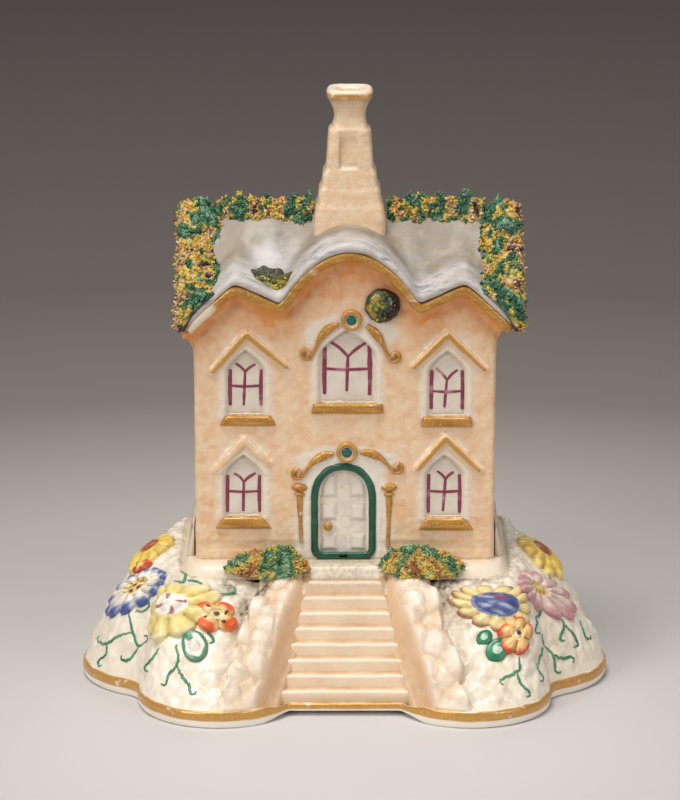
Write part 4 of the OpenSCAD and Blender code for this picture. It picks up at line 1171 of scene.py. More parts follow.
PEONY = PetalPaint(9, BUTTER, PALE_BUTTER, 0.7, OCHRE_LINE, WHITE_CLAY, MAGENTA, 0.36, 0.4, 1.0, 4, 0.85)
DAISY = PetalPaint(10, GOLDEN, tint(246, 226, 140), 0.75, OCHRE_LINE, tint(176, 96, 62), DEEP_RED, 0.34, 0.6)
ASTER = PetalPaint(
    13, WHITE_CLAY, ASTER_BLUE, 0.58, tint(92, 112, 176), tint(242, 222, 150), DEEP_RED, 0.34, 0.8,
    dots=((0.0, 0.02, 0.09), (0.15, 0.1, 0.08), (-0.15, 0.06, 0.08), (0.09, -0.16, 0.08),
          (-0.12, -0.15, 0.08)),
    dot=DEEP_RED,
)
RED_EDGE = PetalPaint(5, tint(240, 150, 90), tint(206, 70, 44), 0.4, DEEP_RED, BUTTER, DEEP_RED, 0.25, 0.7)
ORANGE_LEFT = PetalPaint(
    4, tint(248, 214, 150), ORANGE, 0.46, tint(240, 196, 130), PALE_BUTTER, BUTTER, 0.28, strokes=4,
    stroke_share=0.0, spin=np.pi / 4,
    dots=((0.0, 0.0, 0.17), (0.42, 0.3, 0.12), (-0.42, 0.3, 0.12), (0.4, -0.36, 0.12), (-0.42, -0.34, 0.12)),
)
ORANGE_RIGHT = PetalPaint(
    5, tint(250, 208, 136), tint(232, 92, 48), 0.62, tint(206, 74, 42), PALE_BUTTER, ORANGE, 0.28, 0.8,
    strokes=5, stroke_share=0.3, spin=0.3, dots=((0.05, 0.05, 0.18),), rim_from=0.82,
)
SUNFLOWER = PetalPaint(
    13, tint(248, 226, 158), tint(160, 76, 72), 0.74, tint(170, 104, 68), tint(76, 92, 150),
    tint(52, 62, 122), 0.5, 0.6, 0.7, 3, 0.6, dots=((0.08, 0.22, 0.15),), dot=MAGENTA,
    glints=((-0.22, 0.18, 0.13), (0.22, -0.04, 0.12), (-0.2, -0.2, 0.1), (0.08, -0.32, 0.09)),
)
PINK_DAISY = PetalPaint(
    12, tint(240, 212, 202), tint(216, 160, 166), 0.6, tint(184, 116, 130), tint(242, 210, 122), DEEP_RED,
    0.24, 0.55,
)
BUD = PetalPaint(
    0, WHITE_CLAY, WHITE_CLAY, 0.5, tint(36, 130, 90), WHITE_CLAY, LEAF_GREEN, 0.4, 1.3, 0.0, 1, 0.2,
    dots=((-0.32, 0.55, 0.42),), dot=LEAF_GREEN, rim_from=0.66,
)
# The leaf's pale middle is a painted highlight
LEAF = PetalPaint(
    0, LEAF_GREEN, tint(30, 112, 76), 0.5, tint(30, 112, 76), tint(206, 234, 212), LEAF_GREEN,
    0.4, 0.6, 0.5, 1,
)


@dataclass
class Garden:
    """Flowers laid on the bank, the vines painted between them, and the rock that stays level under them."""

    plan: Plan
    sight: Sight
    flowers: tuple[Flower, ...] = (
        Flower("yellow_daisy_left", "yellow_enamel", 180.5, 0.70, 7.8, 10, DAISY, 2.0, 0.38, 2.2, 0.2,
               (1.05, 0.95)),
        Flower("red_blossom_left", "orange_enamel", 187.5, 0.595, 3.5, 5, RED_EDGE, 1.6, 0.25, 1.5, 0.2,
               (1.35, 0.6), 0.0, 0.6),
        Flower("blue_aster", "blue_enamel", 194.0, 0.47, 9.2, 13, ASTER, 1.9, 0.34, 1.9, 0.2,
               (1.5, 0.62), 0.0, 0.7),
        Flower("yellow_peony", "yellow_enamel", 216.0, 0.57, 9.8, 9, PEONY, 2.3, 0.4, 2.8, 0.14,
               (1.38, 0.7), 0.0, 0.62),
        Flower("orange_blossom_left", "orange_enamel", 227.4, 0.63, 5.7, 4, ORANGE_LEFT, 2.4, 0.3, 2.2, 0.34,
               (1.07, 0.82), np.pi / 4),
        Flower("bud_left", "bud_glaze", 224.6, 0.41, 3.9, 0, BUD, 1.4, 0.6, 2.0, 0.03, (0.95, 1.1), 0.0, 0.5),
        Flower("pink_daisy_right", "pink_enamel", -20.5, 0.52, 9.6, 12, PINK_DAISY, 1.8, 0.26, 1.9, 0.22,
               (1.52, 0.56), 0.0, -0.64),
        Flower("yellow_daisy_right", "yellow_enamel", -0.5, 0.68, 8.4, 10, DAISY, 2.0, 0.38, 2.2, 0.2,
               (1.1, 0.92)),
        Flower("sunflower_right", "yellow_enamel", -41.3, 0.655, 9.6, 13, SUNFLOWER, 1.8, 0.5, 3.0, 0.22,
               (1.33, 0.7), 0.0, -0.5),
        Flower("orange_blossom_right", "orange_enamel", -38.9, 0.405, 5.1, 5, ORANGE_RIGHT, 2.2, 0.3,
               1.9, 0.22, (1.08, 0.98), 0.3),
        Flower("leaves_right", "green_enamel", -44.6, 0.37, 3.1, 0, LEAF, 1.1, 0.5, 1.4, 0.04,
               (1.15, 0.95), 0.8, 0.5, ((-46.7, 0.465, 2.1),)),
    )
    vine_half: float = 0.4
    # Routes of the painted vines, in pixels of the photograph
    vine_routes: tuple[tuple[Pair, ...], ...] = (
        ((129, 612), (132, 632), (138, 648), (147, 641)),
        ((132, 632), (117, 636), (107, 645), (99, 642)),
        ((107, 645), (107, 655), (99, 660)),
        ((138, 648), (131, 659), (125, 661)),
        ((159, 648), (154, 657), (145, 666)),
        ((176, 645), (179, 657), (177, 667), (168, 674), (167, 683)),
        ((177, 667), (182, 677), (188, 683), (190, 692)),
        ((136, 611), (145, 612), (151, 604), (145, 600)),
        ((174, 581), (184, 583), (186, 575)),
        ((188, 580), (199, 582)),
        ((216, 593), (225, 595), (233, 593)),
        ((207, 632), (213, 638)),
        ((542, 605), (540, 616), (535, 617), (538, 623), (535, 629)),
        ((542, 634), (544, 646), (540, 657), (536, 668), (543, 676)),
        ((544, 646), (554, 655), (555, 670)),
        ((554, 655), (563, 659), (570, 657)),
        ((519, 657), (520, 668), (517, 672), (502, 679)),
        ((517, 672), (520, 684), (529, 691)),
        ((561, 618), (565, 625), (560, 637)),
        ((565, 625), (574, 634), (578, 643)),
        ((580, 621), (585, 637)),
        ((547, 572), (552, 582), (557, 593)),
        ((505, 587), (512, 587), (515, 595), (527, 600), (535, 598)),
    )
    back_turns: tuple[float, ...] = (62.0, 84.0, 100.0, 121.0)

    def level(self, degrees: Array, share: Array) -> Array:
        """1 on open rock, falling to 0 where a flower is laid."""
        open_rock = np.ones(np.broadcast(degrees, share).shape)
        for flower in self.flowers:
            along, up = self.plan.bank_scale(flower.turn, flower.share)
            p, q = (degrees - flower.turn) * along, (share - flower.share) * up
            cosine, sine = np.cos(flower.slant), np.sin(flower.slant)
            flat = (p * cosine + q * sine) / flower.squash[0]
            steep = (q * cosine - p * sine) / flower.squash[1]
            away = np.hypot(flat, steep)
            open_rock = open_rock * ease(0.75 * flower.radius, 1.2 * flower.radius, away)
        return open_rock

    def rock(self, degrees: Array, share: Array) -> tuple[Array, Array]:
        """Crumpled rock: the bank pushed along its normal by folds, dents and fine grain.

        Args:
            degrees: directions round the base.
            share: shares of the way up.

        Returns:
            The points, and the depth of the dents and of the groove beside the stair walls, used for painted
            shade.
        """
        smooth = self.plan.bank(degrees, share)
        folds = clouds(smooth, 8.0, 3, 2)
        dents = clouds(smooth, 3.4, 8, 2)
        near, _ = pebbles(smooth + 0.9 * clouds(smooth, 3.0, 9)[..., None], 2.4, 10)
        grain = clouds(smooth, 1.2, 12, 2)
        free = self.level(degrees, share) * ease(0.0, 0.09, share) * (0.35 + 0.65 * ease(1.0, 0.85, share))
        groove = bell(self.plan.from_stairs(degrees), 2.6) * ease(0.08, 0.3, share)
        push = free * (0.7 * folds + 0.8 * dents + 0.6 * (0.5 - near**2) + 0.24 * grain - 1.5 * groove)
        # Painted shade in the dents and in the groove beside the stair walls
        deep = clamp(ease(0.1, 0.6, -dents) * ease(0.4, 0.8, near) + groove) * free
        return smooth + push[..., None] * self.plan.bank_normal(degrees, share), deep

    def seat(self, pixels: Array) -> tuple[Array, Array]:
        """Places on the rock that are seen at pixels: the nearest of a fine grid that faces the camera.

        Args:
            pixels: columns and rows.

        Returns:
            The points and the outward directions there.
        """
        round_base = np.linspace(self.plan.bank_start, 180.0 - self.plan.bank_start, 1100)
        degrees, share = np.meshgrid(round_base, np.linspace(0.02, 1.0, 120), indexing="ij")
        normal = self.plan.bank_normal(degrees, share)
        tilt = np.radians(self.sight.tilt)
        seen = normal @ np.array([0.0, -np.cos(tilt), np.sin(tilt)]) > 0.05
        degrees, share, normal = degrees[seen], share[seen], normal[seen]
        points, _ = self.rock(degrees, share)
        found = self.sight.pixel_of(points)
        nearest = np.argmin(np.sum((found[None] - pixels[:, None]) ** 2, axis=-1), axis=1)
        return points[nearest], normal[nearest]

    def vines(self) -> None:
        """Raised green strokes that follow the rock, thick in the middle and fine at both ends."""
        skin = Skin()
        hooked = [self.hooked(np.array(route, float), k) for k, route in enumerate(self.vine_routes)]
        routes = [curve_through(route, 26) for route in hooked]
        paths, ups = (v.reshape(len(routes), -1, 3) for v in self.seat(np.concatenate(routes)))
        half = self.stroke_half(np.linspace(0.0, 1.0, paths.shape[1]))[None]
        shade = clouds(paths, 4.0, 21)
        paint = blend_tints(VINE_GREEN, tint(110, 168, 128), ease(0.0, 0.6, shade))
        skin.tubes(paths + 0.05 * ups, half, 0.5 * half, ups, 8, paint=paint)
        for number, degrees in enumerate(self.back_turns):
            self.back_sprig(skin, degrees, number)
        skin.settle("bank_vines", STROKES, Body.BASE, "green_enamel")

    def stroke_half(self, t: Array) -> Array:
        """Half width of a stroke at shares of its length."""
        return self.vine_half * (0.45 + 0.55 * np.sin(np.pi * t) ** 0.6)

    @staticmethod
    def hooked(route: Array, number: int) -> Array:
        """Route with a small hook at its end, turned left or right by turns.

        Args:
            route: columns and rows, one point to a row.
            number: the route's count.

        Returns:
            The longer route.
        """
        ahead = unit(route[-1] - route[-2])
        aside = np.array([-ahead[1], ahead[0]]) * (1.0 if number % 2 else -1.0)
        turn = np.array([0.9, 1.8, 2.7])[:, None]
        hook = route[-1] + 3.2 * (np.sin(turn) * ahead + (1.0 - np.cos(turn)) * aside)
        return np.concatenate([route, hook])

    def back_sprig(self, skin: Skin, degrees: float, number: int) -> None:
        """Sprig on the back of the bank: a wavy stem with side shoots.

        Args:
            skin: the vines' mesh.
            degrees: direction of the sprig.
            number: its count, which turns its waves.
        """
        t = np.linspace(0.0, 1.0, 22)
        stem_turn = degrees + 2.2 * np.sin(5.0 * t + number)
        stem_share = 0.22 + 0.5 * t
        lanes = [(stem_turn, stem_share)]
        for k, start in enumerate((0.25, 0.5, 0.75)):
            side = 1.0 if (k + number) % 2 else -1.0
            at = int(start * 21)
            lanes.append((stem_turn[at] + side * 4.5 * t, stem_share[at] + 0.1 * np.sin(2.4 * t)))
        places = np.array(lanes).transpose(1, 0, 2)
        points, _ = self.rock(*places)
        normal = self.plan.bank_normal(*places)
        half = self.stroke_half(t)[None]
        paint = np.array(VINE_GREEN)[None, None]
        skin.tubes(points + 0.05 * normal, half, 0.5 * half, normal, 8, paint=paint)

    def build(self) -> None:
        """Builds every flower and the vines."""
        for flower in self.flowers:
            flower.build(self.plan)
        self.vines()


@dataclass
class Base:
    """Rockwork base: foot ring, bank, plinth with its kerb, stairs between rock walls, and door bushes."""

    plan: Plan
    garden: Garden
    foot_lift: float = 1.2
    plinth_h: float = 3.5
    kerb_half: Pair = (33.3, 16.1)
    kerb_mid_y: float = 12.0
    kerb_h: float = 2.5
    kerb_t: float = 2.5
    treads: int = 8
    rise: float = 3.25
    run: float = 2.375
    stair_toe_z: float = 2.6
    slab_t: float = 7.0
    slab_front_y: float = -31.0
    skirting_h: float = 9.0
    skirting_foot: float = 2.1
    skirting_ends: Pair = (-5.5, 29.5)
    house_half: float = 37.6
    bush_w: float = 20.5
    bush_h: float = 6.0
    bush_half_d: float = 4.0
    bush_back_y: float = -9.7
    # Stair walls: height of the toe, the climb from it, and the crest's bulge above a plain curve
    wall_toe_z: float = 4.25
    wall_climb: float = 26.4
    wall_bulge: float = 3.6
    wall_inner_drop: float = 6.5
    wall_outer_drop: float = 6.0
    pan_r: float = 11.0
    pan_h: float = 4.0

    def build(self) -> None:
        """Builds the base's pieces in order, from the foot up."""
        self.rim()
        self.mound()
        self.plinth()
        self.skirting()
        self.stairs()
        self.stair_wall(-1.0, "stair_wall_left", 4.6, 31)
        self.stair_wall(1.0, "stair_wall_right", 6.4, 37)
        self.bush(-1.0, "door_bush_left", 41)
        self.bush(1.0, "door_bush_right", 43)
        self.pan()

    def rim(self) -> None:
        """Foot ring: a rounded edge carried round the outline, gilt above, lifted under the stairs."""
        degrees = np.arange(520) / 520 * 360.0 - 180.0
        corners = np.array([
            (-5.0, 0.0), (-0.5, 0.0), (0.0, 0.7), (0.1, 1.9), (0.28, 2.3),
            (0.28, 3.2), (0.05, 4.0), (-0.5, 4.4), (-1.6, 4.0), (-5.0, 2.75),
        ])
        profile = spread(soften(corners, 0.5, 4), 60)
        outline = self.plan.rim_at(degrees)
        at_stairs = ease(21.0, 15.0, np.abs(outline[:, 0])) * (outline[:, 1] < 0)
        reach = self.plan.rim_reach(degrees)[:, None] + profile[None, :, 0]
        low = profile[None, :, 1]
        z = np.where(low > 2.0, 2.0 + (low - 2.0) * (1.0 - 0.42 * at_stairs[:, None]), low)
        z = z + self.foot_lift * at_stairs[:, None] * clamp(1.0 - low / 1.6)
        turn = np.radians(degrees)[:, None]
        points = xyz(reach * np.cos(turn), reach * np.sin(turn), z)
        ragged = 0.3 * clouds(points * np.array([1.0, 1.0, 0.0]), 4.0, 61, 2)
        gilt = ease(1.85, 2.1, low + ragged) * ease(4.5, 4.15, low + ragged) * (profile[None, :, 0] > -0.9)
        outward = xyz(np.cos(turn), np.sin(turn), 0.0)
        points = points + (0.12 * clouds(points, 5.0, 62) * ease(0.3, 1.0, z))[..., None] * outward
        skin = Skin()
        skin.grid(points, ring=True, loop=True, gilt=gilt, pale=0.5 * (low < 1.8))
        skin.settle("foot_ring", CREAM, Body.BASE, "cream_glaze", "base_rim")

    def mound(self) -> None:
        """Bank: crumpled rock outside, a smooth hollow inside, closed at the stair walls."""
        degrees = np.linspace(self.plan.bank_start - 4.0, 184.0 - self.plan.bank_start, 640)[:, None]
        share = np.linspace(0.0, 1.0, 74)[None, :]
        outer, deep = self.garden.rock(degrees, share)
        rim = self.plan.rim_at(degrees)
        inward = unit(self.plan.foot_at(degrees) - rim)
        inner_share = np.linspace(1.0, 0.0, 10)[None, :]
        inner = self.plan.bank(degrees, inner_share)
        inner[..., :2] += inward * (3.0 + inner_share)[..., None]
        inner[..., 2] = np.maximum(np.minimum(inner[..., 2], self.plan.mound_top) - 3.0, 2.75)
        top_dirt = ease(0.9, 1.0, share) * 0.35
        # Band beside the stair walls: dirt and painted shadow
        stair_dirt_and_shadow = self.plan.near_stairs(degrees) * ease(0.45, 0.9, share) * 0.95
        grain = ease(-0.5, 0.4, clouds(outer, 5.0, 15, 3))
        specks = 0.16 * ease(0.1, 0.55, clouds(outer, 1.9, 19, 2)) * (0.35 + 0.65 * grain)
        # Dents darkened as painted shade; specks and the band at the top are dirt
        hollow = clamp(deep * 0.26 + specks + (top_dirt + stair_dirt_and_shadow) * grain)
        wash = 0.35 * ease(0.1, 0.6, clouds(outer, 14.0, 17, 2))
        skin = Skin()
        skin.capped(np.concatenate([outer, inner], axis=1), hollow=hollow, wash=wash)
        skin.settle("rock_bank", CREAM, Body.BASE, "cream_glaze", "base_mound")

    def plinth(self) -> None:
        """Plinth: rounded oblongs from its foot, by a cove and a nose to the ledge, the kerb and floor."""
        half_w, half_d = self.plan.foot_half_w, self.plan.foot_half_d
        kerb_w, kerb_d = self.kerb_half
        top = self.plan.plinth_z
        kerb_z = top + self.kerb_h
        mid, kerb_mid = self.plan.foot_mid_y, self.kerb_mid_y
        thick = self.kerb_t
        sole = top - self.plinth_h
        corners = np.array([
            (0.02, 0.02, mid, sole), (half_w, half_d, mid, sole),
            (half_w - 0.1, half_d - 0.1, mid, sole + 0.7), (half_w - 0.9, half_d - 1.0, mid, sole + 2.1),
            (half_w - 1.6, half_d - 1.9, mid, sole + 3.1), (half_w - 2.2, half_d - 3.2, mid, top),
            (kerb_w, kerb_d, kerb_mid, top),
            (kerb_w, kerb_d, kerb_mid, kerb_z), (kerb_w - thick, kerb_d - thick, kerb_mid, kerb_z),
            (kerb_w - thick, kerb_d - thick, kerb_mid, top), (0.02, 0.02, kerb_mid, top),
        ])
        levels = soften(corners, 0.9, 5)[:, None, :]
        turn = turns(260)
        reach = self.plan.oblong_reach(levels[..., 0], levels[..., 1], turn)
        points = xyz(reach * np.cos(turn), reach * np.sin(turn) + levels[..., 2], levels[..., 3])
        points[..., 2] += 0.1 * clouds(points, 6.0, 71) * ease(sole + 0.1, sole + 1.1, points[..., 2])
        near_door = np.exp(-((points[..., 0] / 9.0) ** 4)) * (points[..., 1] < -7.0)
        from_pan = np.hypot(points[..., 0], points[..., 1] - kerb_mid)
        soot = ease(15.0, 4.0, from_pan) * (points[..., 2] > top - 0.5)
        skin = Skin()
        skin.grid(points, ring=True, hollow=clamp(0.4 * near_door + 0.35 * soot), wash=0.5)
        skin.settle("plinth_ledge", CREAM, Body.BASE, "cream_glaze", "base_plinth")

    def skirting(self) -> None:
        """Slanting strips beside the cottage: a wedge section carried along each side."""
        top = self.plan.plinth_z
        section = soften(np.array([
            (0.0, 0.0), (self.skirting_foot, 0.0), (1.7, 2.0),
            (0.6, self.skirting_h - 0.5), (0.0, self.skirting_h),
        ]), 0.4, 3)
        start, end = self.skirting_ends
        y = np.linspace(start, end, 60)[:, None]
        taper = np.sqrt(clamp(1.0 - np.abs((y - (start + end) / 2) / ((end - start) / 2 + 0.1)) ** 16))
        x = self.house_half + section[None, :, 0] * (0.25 + 0.75 * taper)
        z = top + section[None, :, 1] * (0.6 + 0.4 * taper)
        skin = Skin()
        for side in (-1.0, 1.0):
            points = xyz(side * x, y, z)
            points[..., 0] += 0.15 * clouds(points, 4.0, 77) * side
            skin.capped(points, wash=0.7, hollow=0.8 * bell(z - top - 7.8, 0.5))
        skin.settle("side_strips", CREAM, Body.BASE, "cream_glaze", "side_skirting")

    def stairs(self) -> None:
        """Stairs: treads and risers with soft noses and corners, carried across, with a slab below."""
        front, top = self.plan.foot_front_y, self.plan.plinth_z
        k = np.arange(1, self.treads + 1)
        inner = np.stack([front - (k - 1) * self.run - 0.35, top - k * self.rise], axis=1)
        nose = np.stack([front - k * self.run, top - k * self.rise + 0.1], axis=1)
        steps = np.stack([inner, nose], axis=1).reshape(-1, 2)
        start = np.array([[front + 1.0, top - self.rise]])
        toe = np.array([[front - self.treads * self.run - 0.2, self.stair_toe_z]])
        profile = soften(np.concatenate([start, steps, toe]), 0.75, 6)
        back_z = top - self.rise - self.slab_t
        slab = np.array([[self.slab_front_y, self.stair_toe_z], [front + 1.0, back_z]])
        section = np.concatenate([profile, spread(slab, 12)])
        u = np.sin(np.linspace(-1.0, 1.0, 110) * np.pi / 2)[:, None]
        y = section[None, :, 0]
        x = u * (self.plan.lane_x(0.0, y) + 2.0)
        points = xyz(x, y, section[None, :, 1])
        carved = (np.arange(section.shape[0]) < len(profile))[None, :]
        points[..., 2] += 0.16 * clouds(points, 5.0, 81, 2) * carved
        points[..., 1] += 0.14 * clouds(points, 3.5, 83) * carved
        forward = clamp((front - y) / (self.treads * self.run))
        from_wall = self.plan.lane_x(-0.05 + 0.13 * forward, y) - np.abs(x)
        fillet = ease(1.3, 0.3, from_wall) * carved
        ramp = top - self.rise - (front - points[..., 1]) * self.rise / self.run + 0.2 * self.rise
        points[..., 2] += fillet * (ramp - points[..., 2]) * (points[..., 2] > 3.2)
        # Darker in the steps' inner corners and at their ends by the walls: dirt and painted shade
        to_corner = np.min(np.linalg.norm(section[:, None] - inner[None], axis=-1), axis=1)
        corner_dirt_and_shade = ease(0.85, 0.1, to_corner)[None, :] * (0.7 + 0.4 * clouds(points, 6.0, 85, 2)) * carved
        side_dirt_and_shade = ease(1.8, 0.0, from_wall) * 0.25
        top_dirt = 0.22 * ease(top - 9.0, top - 1.0, points[..., 2]) * carved
        hollow = clamp(corner_dirt_and_shade * 0.26 + side_dirt_and_shade * carved + top_dirt)
        # Painted highlight along the step noses
        on_nose = np.min(np.linalg.norm(section[:, None] - nose[None], axis=-1), axis=1)
        pale = 0.5 * ease(0.9, 0.3, on_nose)[None, :]
        skin = Skin()
        skin.capped(points, hollow=hollow, pale=pale, wash=clamp(corner_dirt_and_shade))
        skin.settle("stone_stairs", STAIR, Body.BASE, "cream_glaze", "stair_flight")

    def lane_front(self, share: Array) -> Array:
        """y at which each lane of a stair wall meets the outline, found by halving for all lanes at once."""
        low = np.full(share.shape, -46.0)
        high = np.full(share.shape, self.plan.foot_front_y)
        for _ in range(30):
            middle = (low + high) / 2
            x = self.plan.lane_x(share, middle)
            inside = np.hypot(x, middle) < self.plan.rim_reach(np.degrees(np.arctan2(middle, x)))
            low, high = np.where(inside, low, middle), np.where(inside, middle, high)
        return high

    def stair_wall(self, side: float, node: str, stone: float, seed: int) -> None:
        """Rock wall beside the stairs: a smooth inner face, then boulders that step down to the foot ring.

        Args:
            side: -1 on the left, 1 on the right.
            node: the solid that it replaces.
            stone: width of its boulders.
            seed: picks their pattern.
        """
        v = np.linspace(0.0, 1.0, 96)[:, None]
        w = np.linspace(-0.2, 1.18, 76)[None, :]
        front = self.lane_front(clamp(w)) + 0.5
        back = self.plan.foot_front_y + 0.6
        y = back + (front - back) * v
        x = side * self.plan.lane_x(w + (0.36 * v - 0.16) * ease(0.45, -0.2, w), y)
        crest = self.wall_toe_z + self.wall_climb * (1.0 - v) ** 0.8 + self.wall_bulge * v * (1.0 - v)
        inner = ease(0.24, -0.2, w) * self.wall_inner_drop
        outer = ease(0.84, 1.14, w) * self.wall_outer_drop
        points = xyz(x, y, np.maximum(crest - inner - outer, 2.4))
        near, second = pebbles(points * np.array([1.0, 1.0, 0.85]), stone, seed)
        boulder = clamp(1.0 - 1.3 * near**2) * 2.0 - 0.8
        seams = ease(0.3, 0.0, second - near)
        rocky = ease(0.1, 0.32, w) * ease(1.0, 0.94, v) * ease(0.0, 0.06, v)
        lift = rocky * (boulder * 0.22 * stone - 0.2 * seams + 0.8 * clouds(points, 3.6, seed, 3))
        lean = unit(xyz(side * (w - 0.35) * 1.2, -0.55, 1.0))
        points = points + lift[..., None] * lean
        points[..., 2] = np.maximum(points[..., 2], 2.3)
        floor = np.maximum(points[..., 2].min(axis=1) - 5.0, 1.6)[:, None]
        under = points[:, [-1, 0]].copy()
        under[..., 2] = np.minimum(floor, under[..., 2] - 0.3)
        grain = ease(-0.4, 0.5, clouds(points, 3.5, seed + 2, 3))
        # Painted shadow along the outer edge, painted shade in the seams between boulders and at the inner
        # face's foot
        flank = ease(0.92, 1.06, w) * ease(0.95, 0.55, v)
        hollow = clamp((0.3 * rocky * seams + 0.35 * ease(0.06, -0.15, w) + 0.5 * flank) * grain)
        # Pale clay over the wall, paler on the boulder crowns as painted highlight
        pale = ease(0.12, 0.3, w) * (0.15 + 0.5 * clamp(boulder))
        wash = 0.5 * ease(0.26, 0.05, w) + 0.25 * seams * rocky + 0.2 * ease(0.9, 1.1, w)
        skin = Skin()
        skin.capped(np.concatenate([points, under], axis=1), hollow=hollow, pale=pale, wash=wash)
        skin.settle(node + "_rock", STAIR, Body.BASE, "cream_glaze", node)

    def bush(self, side: float, node: str, seed: int) -> None:
        """Bush beside the door: a lumpy dome with shreds all over it, falling towards the front.

        Args:
            side: -1 on the left, 1 on the right.
            node: the solid that it replaces.
            seed: picks its shreds.
        """
        back = self.bush_back_y
        inner = self.plan.stair_half - 0.4

        def dome(u: Array, v: Array) -> Array:
            """Dome over an oval patch: u runs from the middle out, v runs round."""
            r = np.sqrt(u)
            turn = v * TAU
            ragged = 1.0 + 0.05 * np.sin(5.0 * turn + seed) + 0.05 * np.sin(9.0 * turn - seed)
            x = side * (inner + self.bush_w / 2 * (1.0 + ragged * r * np.cos(turn)))
            y = back - self.bush_half_d * (1.0 - np.minimum(ragged * r * np.sin(turn), 1.0))
            floor = self.plan.plinth_z - 0.5 * np.maximum(self.plan.ledge_front_y - y, 0.0)
            crown = np.maximum(1.0 - r**3, 0.0) * (self.bush_h - 1.8) * (1.0 - 0.35 * r * np.cos(turn))
            return xyz(x, y, floor + 0.1 + crown * (1.0 + 0.3 * tone(u, v)))

        def tone(u: Array, v: Array) -> Array:
            """Clumps of the bush, from -1 to 1."""
            r, turn = np.sqrt(u), v * TAU
            clumps = clouds(xyz(12.0 * r * np.cos(turn), 6.0 * r * np.sin(turn), 0.0), 5.0, seed, 2)
            return clumps + 0.12 * r * np.sin(turn)

        middle_x = side * (inner + self.bush_w / 2)
        middle = np.array([middle_x, back - self.bush_half_d, self.plan.plinth_z - 5.0])
        # The last tint, a pale sage, is a painted highlight on the clumps' crowns
        tints = (
            tint(176, 118, 72), tint(214, 160, 84), tint(226, 192, 80), tint(202, 190, 100),
            tint(132, 152, 88), tint(84, 136, 98), tint(46, 100, 74), tint(74, 130, 98), tint(150, 184, 142),
        )
        chances = (0.08, 0.09, 0.13, 0.12, 0.14, 0.14, 0.13, 0.1, 0.07)
        shreds = Shreds(1700, seed, (0.25, 0.75), (0.16, 0.27), tints, chances, 0.06)
        skin = shreds.mound(dome, tone, middle, np.array([0.0, 0.0, -0.6]))
        skin.settle(node + "_shreds", LEAFAGE, Body.BASE, "foliage_clay", node)

    def pan(self) -> None:
        """Shallow pan that the pastille stands in: a turned section round its middle."""
        section = soften(np.array([
            (0.01, 0.0), (self.pan_r - 1.6, 0.0), (self.pan_r, self.pan_h), (self.pan_r - 1.6, self.pan_h),
            (self.pan_r - 3.2, 1.8), (0.01, 1.8),
        ]), 0.6, 5)
        turn = turns(72)
        r, h = section[:, :1], section[:, 1:]
        points = xyz(r * np.cos(turn), r * np.sin(turn) + self.kerb_mid_y, h + self.plan.plinth_z)
        burnt = ease(8.0, 3.0, r) * (h > 1.0) * (0.7 + 0.3 * clouds(points, 4.0, 93, 2))
        skin = Skin()
        skin.grid(points, ring=True, hollow=clamp(burnt))
        skin.settle("pastille_dish", WHITE, Body.BASE, "white_glaze", "pastille_pan")


@dataclass
class Pastille:
    """Cone of pressed charcoal and gum that is burnt in the pan."""

    radius: float = 5.0
    height: float = 13.0
    tip: float = 1.2
    foot_z: float = 33.8
    middle_y: float = 12.0

    def build(self) -> None:
        """Turned cone with soft edges and a rough skin."""
        section = soften(np.array([
            (0.01, 0.0), (self.radius, 0.0), (self.radius, 1.0), (self.tip, self.height - 0.6),
            (self.tip / 2, self.height), (0.01, self.height),
        ]), 0.4, 4)
        section = np.concatenate([section[:8], spread(section[8:], 40)])
        turn = turns(60)
        r, h = section[:, :1], section[:, 1:]
        points = xyz(r * np.cos(turn), r * np.sin(turn) + self.middle_y, h + self.foot_z)
        rough = 0.12 * clouds(points, 1.8, 95, 2) * ease(0.1, 0.8, h) * (r > 0.5)
        points[..., 0] += rough * np.cos(turn)
        points[..., 1] += rough * np.sin(turn)
        skin = Skin()
        skin.grid(points, ring=True)
        skin.settle("charcoal_cone", BLACK, Body.PASTILLE, "charcoal", "pastille")


COTTAGE_FOOT = np.array([0.0, -8.0, 32.0])


